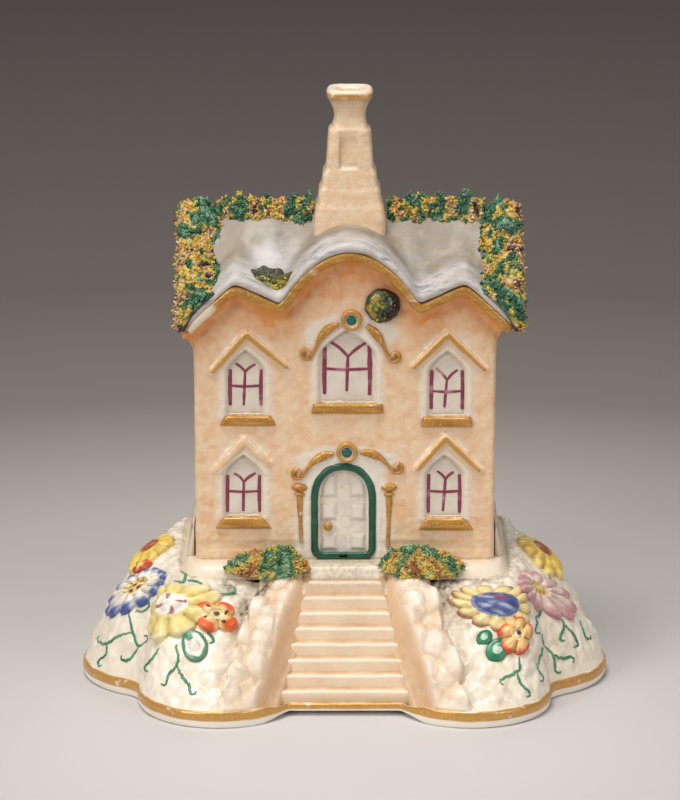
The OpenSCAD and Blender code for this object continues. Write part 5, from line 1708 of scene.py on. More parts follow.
@dataclass(frozen=True)
class RoofShape:
    """Roof's form in the cottage's own frame: y from the front wall's face, z from the plinth."""

    middle: float = 1.2
    half: float = 40.4
    ridge_h: float = 84.5
    ridge_y: float = 20.0
    thick: float = 2.5
    eave_y: float = -4.5
    back_y: float = 44.0
    arch_h: float = 79.2
    arch_half: float = 17.2
    valley_h: float = 65.6
    gable_h: float = 70.8
    gable_x: float = 28.0
    gable_fall: float = 0.95
    gable_round: float = 1.2
    arch_rise: float = 0.05
    gable_rise: float = 0.17
    blend: float = 2.5

    def main_slope(self, y: Array) -> Array:
        """Underside of the plain roof, falling a millimetre for each one away from the ridge."""
        return self.ridge_h - self.thick - np.abs(y - self.ridge_y)

    def gable_line(self, x: Array) -> Array:
        """Front edge of a side gable: two slopes from a rounded peak."""
        d = np.abs(x) - self.gable_x
        inner = (self.gable_h - self.valley_h) / (self.gable_x - self.arch_half)
        fall = np.where(d < 0, inner, self.gable_fall)
        return self.gable_h - fall * (np.sqrt(d * d + self.gable_round**2) - self.gable_round)

    def arch_line(self, x: Array) -> Array:
        """Front edge of the middle arch: a parabola."""
        return self.arch_h - (self.arch_h - self.valley_h) * (x / self.arch_half) ** 2

    def eave_line(self, x: Array) -> Array:
        """Whole front edge, arch and gables blended."""
        return smooth_max(self.arch_line(x - self.middle), self.gable_line(x - self.middle), self.blend)

    def dormers(self, x: Array, y: Array) -> Array:
        """Arch and gables carried back, rising slowly."""
        arch = self.arch_line(x - self.middle) + self.arch_rise * (y - self.eave_y)
        gable = self.gable_line(x - self.middle) + self.gable_rise * (y - self.eave_y)
        return smooth_max(arch, gable, self.blend)

    def under(self, x: Array, y: Array) -> Array:
        """Underside of the roof: the dormers blended into the front slope, a short crest behind the ridge."""
        front = smooth_max(self.main_slope(y), self.dormers(x, y), self.blend)
        ridge = self.main_slope(np.array(self.ridge_y))
        crest = smooth_max(ridge, self.dormers(x, self.ridge_y), self.blend) - ridge
        share = np.maximum(1.0 - 2.0 * (y - self.ridge_y) / (self.back_y - self.ridge_y), 0.0)
        return np.where(y > self.ridge_y, self.main_slope(y) + crest * share, front)

    def over(self, x: Array, y: Array) -> Array:
        """Top of the roof."""
        return self.under(x, y) + self.thick


@dataclass(frozen=True)
class Window:
    """Pointed window in its white recess, with painted bars, a hood and a sill."""

    middle: float
    foot: float
    half: float
    jamb: float
    head: float
    # Two jambs, then a cross bar, a stem and its two twigs
    bars: tuple[tuple[Pair, ...], ...]
    hood: tuple[Pair, ...]
    hood_gilt: bool
    sill_top: Pair
    sill_foot: Pair
    sill_z: Pair
    jamb_half: float = 0.52
    bar_half: float = 0.4

    def half_at(self, z: Array) -> Array:
        """Half width at a height: straight jambs, then a pointed head."""
        up = np.clip((z - self.foot - self.jamb) / self.head, 0.0, 1.3)
        return self.half * (1.0 - up**1.6)

    def inset(self, x: Array, z: Array) -> Array:
        """How far a place lies inside the window's outline, negative outside."""
        return np.minimum(self.half_at(z) - np.abs(x - self.middle), 2.5 * (z - self.foot))


UPPER_LEFT = Window(
    -24.5, 37.0, 4.8, 11.5, 5.4,
    (
        ((-28.3, 39.6), (-28.4, 44.0), (-28.2, 48.7)), ((-20.7, 39.6), (-20.8, 44.0), (-20.6, 48.7)),
        ((-28.3, 44.6), (-24.5, 44.3), (-20.7, 44.6)), ((-25.0, 39.6), (-24.8, 44.0), (-24.6, 48.3)),
        ((-24.6, 48.1), (-25.4, 49.2), (-26.9, 50.2)), ((-24.6, 48.1), (-23.6, 49.2), (-22.1, 50.0)),
    ),
    ((-32.7, 48.2), (-28.6, 52.9), (-24.3, 57.9), (-19.2, 53.6), (-14.3, 49.5)), True,
    (-29.5, -18.4), (-31.1, -16.9), (34.6, 37.4),
)
LOWER_LEFT = Window(
    -25.2, 10.9, 4.9, 10.9, 5.2,
    (
        ((-29.2, 12.1), (-29.2, 17.0), (-29.1, 21.6)), ((-21.2, 12.1), (-21.3, 17.0), (-21.2, 21.6)),
        ((-29.1, 17.5), (-25.2, 17.2), (-21.2, 17.5)), ((-25.3, 12.3), (-25.2, 16.0), (-25.1, 19.9)),
        ((-25.1, 19.8), (-26.0, 21.2), (-27.5, 22.0)), ((-25.1, 19.8), (-24.0, 21.1), (-22.1, 22.1)),
    ),
    ((-31.7, 23.1), (-28.4, 27.2), (-24.8, 31.0), (-21.7, 27.9), (-18.8, 24.9)), False,
    (-30.1, -20.6), (-32.3, -18.1), (8.0, 11.3),
)
UPPER_RIGHT = Window(
    25.2, 36.7, 4.8, 11.5, 5.4,
    (
        ((21.4, 38.6), (21.3, 43.5), (21.5, 48.5)), ((29.0, 38.6), (29.1, 43.5), (28.9, 48.5)),
        ((21.4, 43.2), (25.2, 42.9), (29.0, 43.2)), ((24.6, 39.0), (24.9, 43.0), (25.2, 46.2)),
        ((25.2, 46.0), (24.0, 47.8), (22.5, 49.0)), ((25.2, 46.0), (26.4, 47.6), (27.8, 48.6)),
    ),
    ((16.7, 49.3), (21.0, 53.6), (25.3, 57.9), (29.9, 53.4), (34.5, 48.9)), True,
    (19.2, 31.2), (18.7, 31.7), (34.3, 37.1),
)
LOWER_RIGHT = Window(
    24.7, 10.7, 4.8, 11.1, 5.2,
    (
        ((20.8, 11.9), (20.7, 17.0), (20.9, 21.8)), ((28.5, 11.9), (28.6, 17.0), (28.4, 21.8)),
        ((20.8, 17.5), (24.7, 17.2), (28.5, 17.5)), ((24.4, 12.3), (24.7, 16.5), (25.0, 20.8)),
        ((25.0, 20.6), (24.1, 21.8), (22.9, 22.6)), ((25.0, 20.6), (25.9, 21.7), (27.0, 22.4)),
    ),
    ((17.8, 23.2), (21.4, 27.4), (24.9, 31.6), (29.2, 27.3), (33.4, 23.1)), True,
    (20.2, 29.4), (18.2, 32.2), (7.6, 11.1),
)
MIDDLE = Window(
    0.6, 40.0, 7.1, 12.2, 6.8,
    (
        ((-5.0, 42.5), (-5.1, 48.0), (-4.9, 54.3)), ((6.1, 42.2), (6.2, 48.0), (6.0, 55.4)),
        ((-5.0, 48.9), (0.5, 48.6), (6.1, 48.9)), ((0.45, 43.2), (0.6, 48.0), (0.75, 52.2)),
        ((0.75, 52.0), (-1.2, 54.2), (-3.4, 55.6)), ((0.75, 52.0), (2.8, 54.0), (5.2, 55.5)),
    ),
    (), True, (-8.0, 9.4), (-8.4, 9.8), (37.7, 40.4), 0.62, 0.45,
)
WINDOWS = (UPPER_LEFT, LOWER_LEFT, UPPER_RIGHT, LOWER_RIGHT, MIDDLE)


def to_part(points: Array) -> Array:
    """Points of the cottage's own frame in the part's frame."""
    return points + COTTAGE_FOOT


def on_wall(x: Array, z: Array, out: Array) -> Array:
    """Part-frame points at x, z of the front wall, standing out of its face by a distance."""
    return to_part(xyz(x, -out, z))


TOWARDS_FRONT = np.array([0.0, -1.0, 0.0])


def pillow(skin: Skin, x: Array, z: Array, out: Array, back: float, **layers: Array) -> None:
    """Closed cushion on the front wall: a raised front over a flat back that share an outline.

    Args:
        skin: the mesh that it joins.
        x: positions across, a grid.
        z: heights, a grid.
        out: how far the front stands out; its border is set to the back.
        back: how far the back stands out, below 0 inside the wall.
        layers: painted values of the front.
    """
    front = np.array(np.broadcast_to(out, np.broadcast(x, z).shape), dtype=float)
    front[0], front[-1] = back, back
    front[:, 0], front[:, -1] = back, back
    skin.grid(on_wall(x, z, front), **layers)
    skin.grid(on_wall(x, z, np.full_like(front, back)))


@dataclass
class Cottage:
    """Hollow cottage: walls with painted windows and door, draped roof, stepped chimney and ivy."""

    roof_shape: RoofShape = field(default_factory=RoofShape)
    half_w: float = 37.2
    depth: float = 40.0
    wall_t: float = 3.5
    corner_r: float = 1.2
    roof_gap: float = 0.15
    # How far recesses, panes and painted bars lie behind the wall's face
    window_recess: float = 1.05
    pane_in: float = 1.02
    pane_back: float = 1.3
    bar_in: float = 0.82
    draught_half: float = 7.0
    draught_h: float = 18.0
    door_middle: float = -0.35
    door_half: float = 6.3
    door_shoulder: float = 15.6
    door_h: float = 23.1
    door_recess: float = 1.3
    leaf_in: float = 1.25
    leaf_back: float = 1.6
    # Power of the door's arch, foot and head of each row of panels, and the place of the knob
    arch_power: float = 2.2
    panel_rows: tuple[Pair, ...] = ((2.4, 6.1), (10.1, 13.8), (16.2, 21.6))
    knob_at: Pair = (-4.2, 8.4)
    knob_r: float = 1.1
    band_half: float = 0.88
    # Places of the roundels, and middle and reach of the bare clay round each
    door_rose_at: Pair = (0.5, 27.8)
    door_crown: tuple[Pair, Pair] = ((0.5, 25.2), (13.0, 4.6))
    window_rose_at: Pair = (1.6, 61.5)
    window_crown: tuple[Pair, Pair] = ((1.4, 57.5), (12.5, 6.2))
    # Side, place across and foot of each pilaster, the neck of its shaft, and its cap and bell:
    # height, half width, half height and swell
    pilaster_places: tuple[Triple, ...] = ((-1.0, -11.2, 4.4), (1.0, 11.0, 2.8))
    pilaster_neck: float = 16.5
    pilaster_caps: tuple[tuple[float, ...], ...] = ((18.65, 1.95, 1.05, 0.8), (16.9, 1.3, 0.62, 0.65))
    hood_half: float = 1.15
    sill_swell: float = 1.55
    cove_h: float = 5.0
    cove_out: float = 3.5
    moulding_h: float = 2.1
    moulding_ends: Pair = (-38.4, 40.6)
    chimney_y: float = 20.0
    # Heights of the chimney's foot, its three steps, the top of its shaft and its cap
    chimney_levels: tuple[float, ...] = (73.5, 86.9, 91.1, 95.3, 105.8, 115.7)
    niche_half: float = 2.3
    flue_r: float = 2.3
    ivy_t: float = 4.0
    ivy_clump: float = 0.4
    ridge_ivy_x: Pair = (9.3, 33.4)
    ridge_ivy_half: float = 3.5
    gable_ivy_w: float = 8.5
    gable_ivy_hang: float = 3.0

    def build(self) -> None:
        """Builds the cottage's pieces in order, from the walls out."""
        self.walls()
        self.roof()
        self.chimney()
        self.cove()
        self.moulding()
        self.panes()
        self.bars()
        self.hoods()
        self.sills()
        self.roundels()
        self.scrolls()
        self.door()
        self.door_band()
        self.knob()
        self.pilasters()
        self.ridge_ivy(-1.0, "ridge_ivy_left", 75.0, 51)
        self.ridge_ivy(1.0, "ridge_ivy_right", 0.0, 53)
        self.gable_ivy(-1.0, "gable_ivy_left", 60.0, 55)
        self.gable_ivy(1.0, "gable_ivy_right", 0.0, 57)
        self.valley_ivy()
        self.tuft()

    def door_inset(self, x: Array, z: Array, grow: float = 0.0) -> Array:
        """How far a place lies inside the arched door grown by a margin, negative outside."""
        up = clamp((z - self.door_shoulder) / (self.door_h + grow - self.door_shoulder))
        half = (self.door_half + grow) * (1.0 - up**self.arch_power) ** (1.0 / self.arch_power)
        below = self.door_h + grow - z
        return np.minimum(np.minimum(half - np.abs(x - self.door_middle), below), z + 0.5)

    def facade(self, x: Array, z: Array) -> tuple[Array, Array, Array]:
        """Front wall's relief and paint: recesses with soft lips, a moulded foot, white round every opening.

        Args:
            x: positions across.
            z: heights.

        Returns:
            How far the face stands out, how white it is, and its hollows: painted shade under the window
            heads and along the wall's foot.
        """
        face = xyz(x, 0.0, z)
        out = self.peel(face)
        white = np.zeros(x.shape)
        hollow = np.zeros(x.shape)
        lip_edge, hood_edge = (0.6 * clouds(face, size, seed, 2) for size, seed in ((3.0, 103), (2.5, 104)))
        for window in WINDOWS:
            inset = window.inset(x, z)
            out = out - self.window_recess * ease(-0.3, 0.7, inset) + 0.22 * bell(inset + 0.9, 0.7)
            white = np.maximum(white, 0.85 * ease(-3.0, -0.6, inset + lip_edge))
            # Painted shade under each window's pointed head
            top_shade = ease(window.foot + window.jamb - 2.0, window.foot + window.jamb + window.head, z)
            hollow = np.maximum(hollow, 0.35 * ease(-0.2, 0.4, inset) * top_shade)
            for first, second in zip(window.hood[:-1], window.hood[1:]):
                away = self.segment_distance(x, z, first, second)
                under = (np.abs(x - window.middle) < 6.0) & (z < max(first[1], second[1]))
                white = np.maximum(white, 0.6 * under * ease(3.4, 0.8, away + hood_edge))
                out = out + 0.55 * ease(1.7, 0.3, away)
        door = self.door_inset(x, z)
        out = out - self.door_recess * ease(-0.1, 0.4, door) + 0.25 * bell(door + 2.6, 0.6)
        beside = np.abs(x - self.door_middle)
        door_white = ease(-6.6, -4.8, door + 0.8 * clouds(face, 3.0, 105, 2)) * ease(25.5, 23.0, z)
        white = np.maximum(white, door_white)
        crowns = ((self.door_crown, 106, 1.0, 0.85), (self.window_crown, 107, 0.9, 0.8))
        for (middle, reach), seed, share, full in crowns:
            away = np.hypot((x - middle[0]) / reach[0], (z - middle[1]) / reach[1])
            white = np.maximum(white, share * ease(1.05, full, away + 0.12 * clouds(face, 3.0, seed, 2)))
        foot = ease(2.9, 2.0, z) + 0.5 * bell(z - 5.2, 0.7)
        out = out + 0.3 * foot * ease(8.5, 10.5, beside)
        # Painted shade along the wall's foot
        hollow = np.maximum(hollow, 0.5 * bell(z, 0.6))
        return out, clamp(white), hollow

    @staticmethod
    def peel(points: Array) -> Array:
        """Pebbly skin of the walls: shallow knobs over slow dents."""
        near, _ = pebbles(points, 1.9, 108)
        return 0.16 * (0.55 - near**2) + 0.10 * clouds(points, 4.0, 101, 2)

    @staticmethod
    def segment_distance(x: Array, z: Array, first: Pair, second: Pair) -> Array:
        """Distance from places to the straight line between two points."""
        start, run = np.array(first), np.array(second) - np.array(first)
        t = clamp(((x - start[0]) * run[0] + (z - start[1]) * run[1]) / (run @ run))
        return np.hypot(x - start[0] - t * run[0], z - start[1] - t * run[1])

    def wall_columns(self) -> tuple[Array, Array, Array]:
        """Columns round the walls, from the front's left end by the right side and the back's arch.

        Returns:
            Plan points, outward directions, and the height of the wall's foot at each column.
        """
        r = self.corner_r
        w, d = self.half_w - r, self.depth - r
        arch = np.linspace(0.0, np.pi, 37)
        arch_x = self.draught_half * np.cos(arch)
        outside = np.linspace(w, self.draught_half + 0.04, 26)
        back_x = np.concatenate([outside, arch_x, -outside[::-1]])
        arch_z = self.draught_h - self.draught_half + self.draught_half * np.sin(arch)
        back_low = np.concatenate([np.zeros(26), arch_z, np.zeros(26)])
        front_x = np.linspace(-w, w, 196)
        side_y = np.linspace(r, d, 46)
        turn = np.linspace(0.0, np.pi / 2, 6)[1:-1]
        sx, cx = np.sin(turn), np.cos(turn)
        # Place, direction and foot of each stretch: front, right side and back, with the corners between them
        stretches = (
            (front_x, 0.0, 0.0, -1.0, 0.0), (w + r * sx, r - r * cx, sx, -cx, 0.0),
            (self.half_w, side_y, 1.0, 0.0, 0.0), (w + r * cx, d + r * sx, cx, sx, 0.0),
            (back_x, self.depth, 0.0, 1.0, back_low), (-w - r * sx, d + r * cx, -sx, cx, 0.0),
            (-self.half_w, side_y[::-1], -1.0, 0.0, 0.0), (-w - r * cx, r - r * sx, -cx, -sx, 0.0),
        )
        columns = np.concatenate([np.stack(np.broadcast_arrays(*stretch), axis=1) for stretch in stretches])
        return columns[:, :2], columns[:, 2:4], columns[:, 4]

    def walls(self) -> None:
        """Walls as one band: up the outside with the facade's relief, over the top, down a plain inside."""
        plan, facing, low = self.wall_columns()
        top = self.roof_shape.under(plan[:, 0], plan[:, 1]) - self.roof_gap
        t = np.linspace(0.0, 1.0, 186)[None, :]
        z = low[:, None] + (top - low)[:, None] * t
        x, y, z = np.broadcast_arrays(plan[:, :1], plan[:, 1:], z)
        front = facing[:, 1:] < -0.99
        out, white, hollow = self.facade(x, z)
        face = xyz(x, y, z)
        out = np.where(front, out, self.peel(face))
        flare = 0.7 * ease(14.0, 2.0, top[:, None] - z) * np.abs(facing[:, :1])
        outer = xyz(x + facing[:, :1] * (out + flare), y + facing[:, 1:] * out, z)
        inset = np.stack([
            np.clip(plan[:, 0], self.wall_t - self.half_w, self.half_w - self.wall_t),
            np.clip(plan[:, 1], self.wall_t, self.depth - self.wall_t),
        ], axis=1)
        inner_z = low[:, None] + (top - low)[:, None] * np.linspace(1.0, 0.0, 8)[None, :]
        inner = xyz(inset[:, :1], inset[:, 1:], inner_z)
        # Deeper apricot under the eaves: partly the glaze's colour, partly painted shade
        under_eave_wash_and_shade = ease(16.0, 1.0, top[:, None] - z)
        blotches = ease(-0.1, 0.6, clouds(face * np.array([1.0, 1.0, 0.8]), 7.0, 109, 2))
        dabs = ease(0.05, 0.5, clouds(face, 1.9, 110, 2))
        wash = clamp(0.8 * under_eave_wash_and_shade + 0.16 * blotches + 0.34 * dabs * (0.4 + 0.6 * blotches))
        sooty = ease(30.0, 60.0, inner_z) * 0.35
        skin = Skin()
        # Sides and back darkened at the foot as painted shade
        layers = {
            "pale": np.concatenate([np.where(front, white, 0.0), np.full(inner_z.shape, 0.3)], axis=1),
            "hollow": np.concatenate([np.where(front, hollow, 0.3 * ease(0.8, 0.0, z)), sooty], axis=1),
            "wash": np.concatenate([wash, np.zeros(inner_z.shape)], axis=1),
        }
        skin.grid(to_part(np.concatenate([outer, inner], axis=1)), ring=True, loop=True, **layers)
        skin.settle("cottage_walls", APRICOT, Body.COTTAGE, "apricot_glaze", "house_walls", sharp=55.0)

    def roof(self) -> None:
        """Roof as one closed sheet: top and underside about a middle surface, rounded at every edge."""
        shape = self.roof_shape
        half_t = shape.thick / 2
        roll = np.linspace(0.0, np.pi / 2, 7)
        nose = half_t * (1.0 - np.cos(roll[1:]))
        front = np.concatenate([[shape.eave_y], shape.eave_y + nose])
        back = np.concatenate([shape.back_y - nose[::-1], [shape.back_y]])
        middle = np.linspace(front[-1], shape.ridge_y, 46)[1:]
        rear = np.linspace(shape.ridge_y, back[0], 26)[1:-1]
        y = np.concatenate([front, middle, rear, back])
        edge_y = np.minimum(y - shape.eave_y, shape.back_y - y)
        swell_y = rounding(np.maximum(1.0 - edge_y / half_t, 0.0))
        inner = np.linspace(-shape.half + half_t, shape.half - half_t, 190)
        ends = shape.half - half_t + half_t * np.sin(roll[1:])
        x = np.concatenate([-ends[::-1], inner, ends])
        swell_x = rounding(np.maximum(np.abs(x) - shape.half + half_t, 0.0) / half_t)
        x = x + shape.middle
        gx, gy = np.meshgrid(x, y, indexing="ij")
        flat = xyz(gx, gy, 0.0)
        drape = 0.28 * clouds(flat, 11.0, 111, 2) + 0.07 * clouds(flat, 3.0, 112)
        mid = shape.under(gx, gy) + half_t + drape
        swell = half_t * swell_x[:, None] * swell_y[None, :]
        top = xyz(gx, gy, mid + swell)
        low = xyz(gx, gy, mid - swell)[:, ::-1][:, 1:-1]
        near_front = ease(17.0, -3.0, gy)
        off = np.abs(gx - shape.middle)
        valley = bell(shape.arch_line(off) - shape.gable_line(off), 3.0)
        soil = ease(-0.2, 0.5, clouds(top, 9.0, 113, 3))
        side_grey = ease(8.0, 34.0, off)
        chimney_foot = ease(13.0, 8.0, np.maximum(off - 1.0, np.abs(gy - self.chimney_y) + 2.0))
        on_field = ease(0.8, 0.3, near_front)
        at_front = gy < shape.ridge_y
        bloom = bell(off - 19.0, 5.5) * bell(gy - 9.0, 5.0)
        bloom = bloom * ease(24.0, -16.0, gx) * (0.85 + 0.3 * clouds(top, 3.0, 114, 2)) * at_front
        # Painted shade along the crease where the arch meets the side fields
        crease = bell(off - shape.arch_half, 2.2) * on_field
        hollow = 0.2 * valley * soil + 0.25 * side_grey * soil + 0.45 * chimney_foot * soil + 0.3 * crease
        hollow = clamp(hollow)
        wash = np.clip((0.75 + 0.35 * soil - 0.8 * bloom) * on_field, 0.0, np.where(at_front, 1.0, 0.45))
        layers = {
            "hollow": hollow, "wash": wash, "pale": 0.55 * bloom * on_field,
            "brushed": 0.25 + 0.75 * near_front,
        }
        blank = ((0, 0), (0, low.shape[1]))
        skin = Skin()
        skin.grid(to_part(np.concatenate([top, low], axis=1)), ring=True,
                  **{name: np.pad(values, blank) for name, values in layers.items()})
        skin.settle("draped_roof", ROOF, Body.COTTAGE, "white_glaze", "roof")

    def chimney(self) -> None:
        """Chimney: rounded squares up three steps, a tapering shaft with a niche, neck and flared cap."""
        foot, first, second, third, shaft, top = self.chimney_levels
        flue = self.flue_r
        corners = np.array([
            (flue, flue, foot), (9.1, 7.1, foot), (8.9, 6.9, foot + 10.0), (8.5, 6.6, first - 0.4),
            (7.95, 6.1, first + 0.6), (7.65, 5.85, second - 0.6), (7.45, 5.7, second),
            (6.95, 5.45, second + 0.8), (6.7, 5.3, third - 0.7), (6.45, 5.2, third),
            (5.95, 4.95, third + 0.7), (5.35, 4.8, shaft - 0.9), (5.15, 4.7, shaft),
            (4.5, 4.3, shaft + 0.35), (4.15, 4.0, shaft + 1.6), (3.85, 3.85, shaft + 3.2),
            (4.2, 4.2, shaft + 5.2), (5.2, 5.2, top - 2.6), (5.75, 5.75, top - 1.8),
            (5.75, 5.75, top - 0.7), (5.1, 5.1, top), (3.4, 3.4, top - 0.1), (2.5, 2.5, top - 0.9),
            (flue, flue, top - 4.0), (flue, flue, foot),
        ])
        rows, outer_rows = 230, 190
        levels = spread(soften(corners, 0.5, 6), rows)[:, None, :]
        turn = turns(132)
        power = 4.2 + 4.5 * ease(shaft, third, levels[..., 2])
        cosine, sine = np.abs(np.cos(turn)), np.abs(np.sin(turn))
        reach = ((cosine / levels[..., 0]) ** power + (sine / levels[..., 1]) ** power) ** (-1.0 / power)
        x, y, z = reach * np.cos(turn), reach * np.sin(turn), levels[..., 2]
        outside = (np.arange(rows) < outer_rows)[:, None]
        inset = np.minimum(self.niche_half - np.abs(x + 0.3), np.minimum(z - third - 0.8, third + 10.2 - z))
        sunk = ease(-0.4, 0.6, inset) * (y < 0) * outside * (reach > 3.0)
        y = y + 0.85 * sunk * ease(third + 11.5, third + 5.0, z)
        points = xyz(x + self.roof_shape.middle, y + self.chimney_y, z)
        wobble = 0.14 * clouds(points, 7.0, 121, 2) * outside
        points[..., 0] += wobble * np.cos(turn)
        points[..., 1] += wobble * np.sin(turn)
        cap = ease(top - 3.0, top - 2.4, z) * ease(top - 0.5, top - 1.1, z) * (reach > 4.4)
        rubbed = ease(-0.35, 0.25, clouds(points, 2.6, 123, 2))
        gilt = cap * (0.45 + 0.55 * rubbed)
        # Painted shade at the foot of each step, down the niche's left side and in a line under the cap; the
        # niche's floor darkened with dirt and painted shade
        steps = np.min(np.abs(levels[..., 2:] - np.array([first + 0.3, second + 0.5, third + 0.4])), axis=-1)
        groove = np.maximum(ease(third + 3.4, third + 0.9, z), ease(-0.6, -2.2, x))
        hollow = 0.26 * ease(1.0, 0.1, steps) + 0.42 * sunk * groove
        hollow = hollow + 0.3 * outside * bell(z - top + 3.1, 0.35)
        rubbed_lip = 0.4 * ease(top - 1.0, top - 0.4, z)
        pale = outside * (0.12 + 0.3 * ease(0.2, 0.8, clouds(points, 3.0, 127, 2)) + rubbed_lip)
        # Painted shade deepening down inside the flue
        hollow = np.maximum(hollow, 0.85 * (reach < 2.9) * ease(top - 0.5, top - 4.0, z))
        wash = 0.25 * ease(0.0, 0.6, clouds(points, 6.0, 125, 2))
        skin = Skin()
        layers = {"gilt": gilt, "hollow": clamp(hollow), "wash": wash, "pale": clamp(pale)}
        skin.grid(to_part(points), ring=True, loop=True, **layers)
        skin.settle("stepped_chimney", APRICOT, Body.COTTAGE, "apricot_glaze", "chimney")

    def cove(self) -> None:
        """Cove below the eave: a hollow curve that leans out to the moulding, wider at its ends."""
        u = np.linspace(-1.0, 1.0, 170)[:, None]
        t = np.linspace(0.0, 1.0, 14)[None, :]
        reach = (self.cove_out + 0.15) * t**2 - 0.15
        x = u * (self.half_w + 0.4 + 2.2 * t**2)
        eave = self.roof_shape.eave_line(x) - self.roof_gap
        z = eave - self.moulding_h + 0.3 - self.cove_h * (1.0 - t)
        front = xyz(x, -reach, z)
        front[..., 1] += 0.08 * clouds(front, 3.0, 131, 2)
        lid = front[:, -1:] + np.array([0.0, 0.0, self.moulding_h - 0.3])
        back = lid + np.array([0.0, self.cove_out + 0.6, 0.0])
        foot = front[:, :1] + np.array([0.0, 1.0, 0.0])
        # Heavy wash on the cove: the glaze's deeper apricot and painted shade under the eave
        blotch = ease(-0.2, 0.5, clouds(front, 6.0, 133, 3))
        wash = np.pad(0.7 + 0.3 * blotch, ((0, 0), (0, 3)), mode="edge")
        skin = Skin()
        skin.capped(to_part(np.concatenate([front, lid, back, foot], axis=1)), wash=wash)
        skin.settle("cove_under_eave", APRICOT, Body.COTTAGE, "apricot_glaze", "eave_cove", sharp=60.0)

    def moulding(self) -> None:
        """Gilt moulding: a flat oval section carried along the eave."""
        x = np.linspace(*self.moulding_ends, 240)
        z = self.roof_shape.eave_line(x) - self.roof_gap - self.moulding_h / 2
        path = on_wall(x, z, self.cove_out + 0.1)[None]
        skin = Skin()
        half = (self.moulding_h / 2 + 0.05) * (1.0 + 0.08 * clouds(path, 5.0, 135))
        bare = ease(-31.0, -33.0, x)[None]
        rubbed = np.maximum(0.6 * ease(0.25, 0.6, clouds(path, 5.0, 137, 2)), bare)
        skin.tubes(path, half, 0.62, TOWARDS_FRONT, 14, pale=rubbed)
        skin.settle("gilt_eave_band", GILT_BAR, Body.COTTAGE, "gilding", "eave_moulding")

    def panes(self) -> None:
        """Panes: thin white cushions at the back of each recess."""
        skin = Skin()
        v = np.linspace(0.0, 1.0, 44)[:, None]
        u = np.linspace(-1.0, 1.0, 32)[None, :]
        for window in WINDOWS:
            z = window.foot + 0.25 + v * (window.jamb + window.head - 0.7)
            x = window.middle + u * (window.half_at(z) - 0.15)
            swell = (1.0 - u**6) * (1.0 - (2.0 * v - 1.0) ** 8)
            out = -self.pane_in + 0.16 * swell + 0.04 * clouds(xyz(x, 0.0, z), 2.5, 141)
            # Painted shade in the pane's upper part and corners, under the pointed head
            upper = ease(0.55, 1.0, v)
            corner = ease(0.6, 1.0, np.abs(u)) * 0.4
            hollow = (0.16 + 0.3 * corner) * upper
            pillow(skin, x, z, out, -self.pane_back, hollow=hollow, wash=0.5 * upper)
        skin.settle("glazed_panes", WHITE, Body.COTTAGE, "white_glaze", "window_panes")

    def bars(self) -> None:
        """Painted glazing bars: thin magenta strokes laid on the panes."""
        skin = Skin()
        strokes = [np.array(points) for window in WINDOWS for points in window.bars]
        halves = [half for window in WINDOWS for half in [window.jamb_half] * 2 + [window.bar_half] * 4]
        samples = 20
        lines = np.stack([curve_through(points, samples) for points in strokes])
        paths = on_wall(lines[..., 0], lines[..., 1], -self.bar_in)
        swell = 0.5 + 0.5 * np.sin(np.pi * np.linspace(0.1, 0.9, samples)) ** 0.5
        half = np.array(halves)[:, None] * swell * (0.9 + 0.25 * clouds(paths, 2.0, 143, 2))
        paint = blend_tints(MAGENTA, tint(196, 146, 148), ease(0.15, 0.6, clouds(paths, 3.0, 145, 2)))
        skin.tubes(paths, half, 0.16, TOWARDS_FRONT, 10, paint=paint)
        skin.settle("glazing_bars", STROKES, Body.COTTAGE, "white_glaze")

    def hoods(self) -> None:
        """Window hoods: a white moulded ridge along each pitched hood, with a gold stroke along its crest."""
        samples = 60
        ends = np.sin(np.pi * np.clip(np.linspace(0.0, 1.0, samples), 0.03, 0.97))[None] ** 0.25
        skin = Skin()
        for window in WINDOWS:
            if not window.hood:
                continue
            line = spread(soften(np.array(window.hood), 0.5, 3), samples)
            path = on_wall(line[:, 0], line[:, 1], 0.35)[None]
            skin.tubes(path, self.hood_half * ends, 0.7 * ends, TOWARDS_FRONT, 14)
            if window.hood_gilt:
                stroke = path + 0.66 * TOWARDS_FRONT
                wide = ends * (0.66 + 0.16 * clouds(path, 3.5, 147, 2))
                skin.tubes(stroke, wide, 0.28 * ends, TOWARDS_FRONT, 12, gilt=1.0)
        skin.settle("pitched_hoods", HOOD, Body.COTTAGE, "gilding", "window_hoods")

    def sills(self) -> None:
        """Sills: gilt cushions, level bars above and splayed aprons below."""
        skin = Skin()
        v = np.linspace(0.0, 1.0, 26)[:, None]
        u = np.linspace(0.0, 1.0, 60)[None, :]
        for window in WINDOWS:
            low, high = window.sill_z
            left = window.sill_foot[0] + (window.sill_top[0] - window.sill_foot[0]) * v
            right = window.sill_foot[1] + (window.sill_top[1] - window.sill_foot[1]) * v
            x = left + (right - left) * u
            z = low + (high - low) * v
            face = xyz(x, 0.0, z)
            z = z + 0.12 * clouds(face, 4.0, 151) * np.abs(2 * v - 1)
            round_v = (1.0 - np.abs(2 * v - 1) ** 4) ** 0.5
            round_u = (1.0 - np.abs(2 * u - 1) ** 24) ** 0.5
            out = -0.3 + self.sill_swell * round_v * round_u + 0.05 * clouds(face, 2.0, 152)
            bare = ease(0.93, 1.0, v + 0.06 * clouds(face, 2.5, 153, 2))
            bare = bare + 0.6 * ease(0.97, 1.0, np.abs(2 * u - 1))
            # Painted shade along each sill's underside
            pillow(skin, x, z, out, -0.3, pale=clamp(bare), hollow=0.5 * ease(0.1, 0.0, v))
        skin.settle("gilt_sills", GILT_BAR, Body.COTTAGE, "gilding", "window_sills")

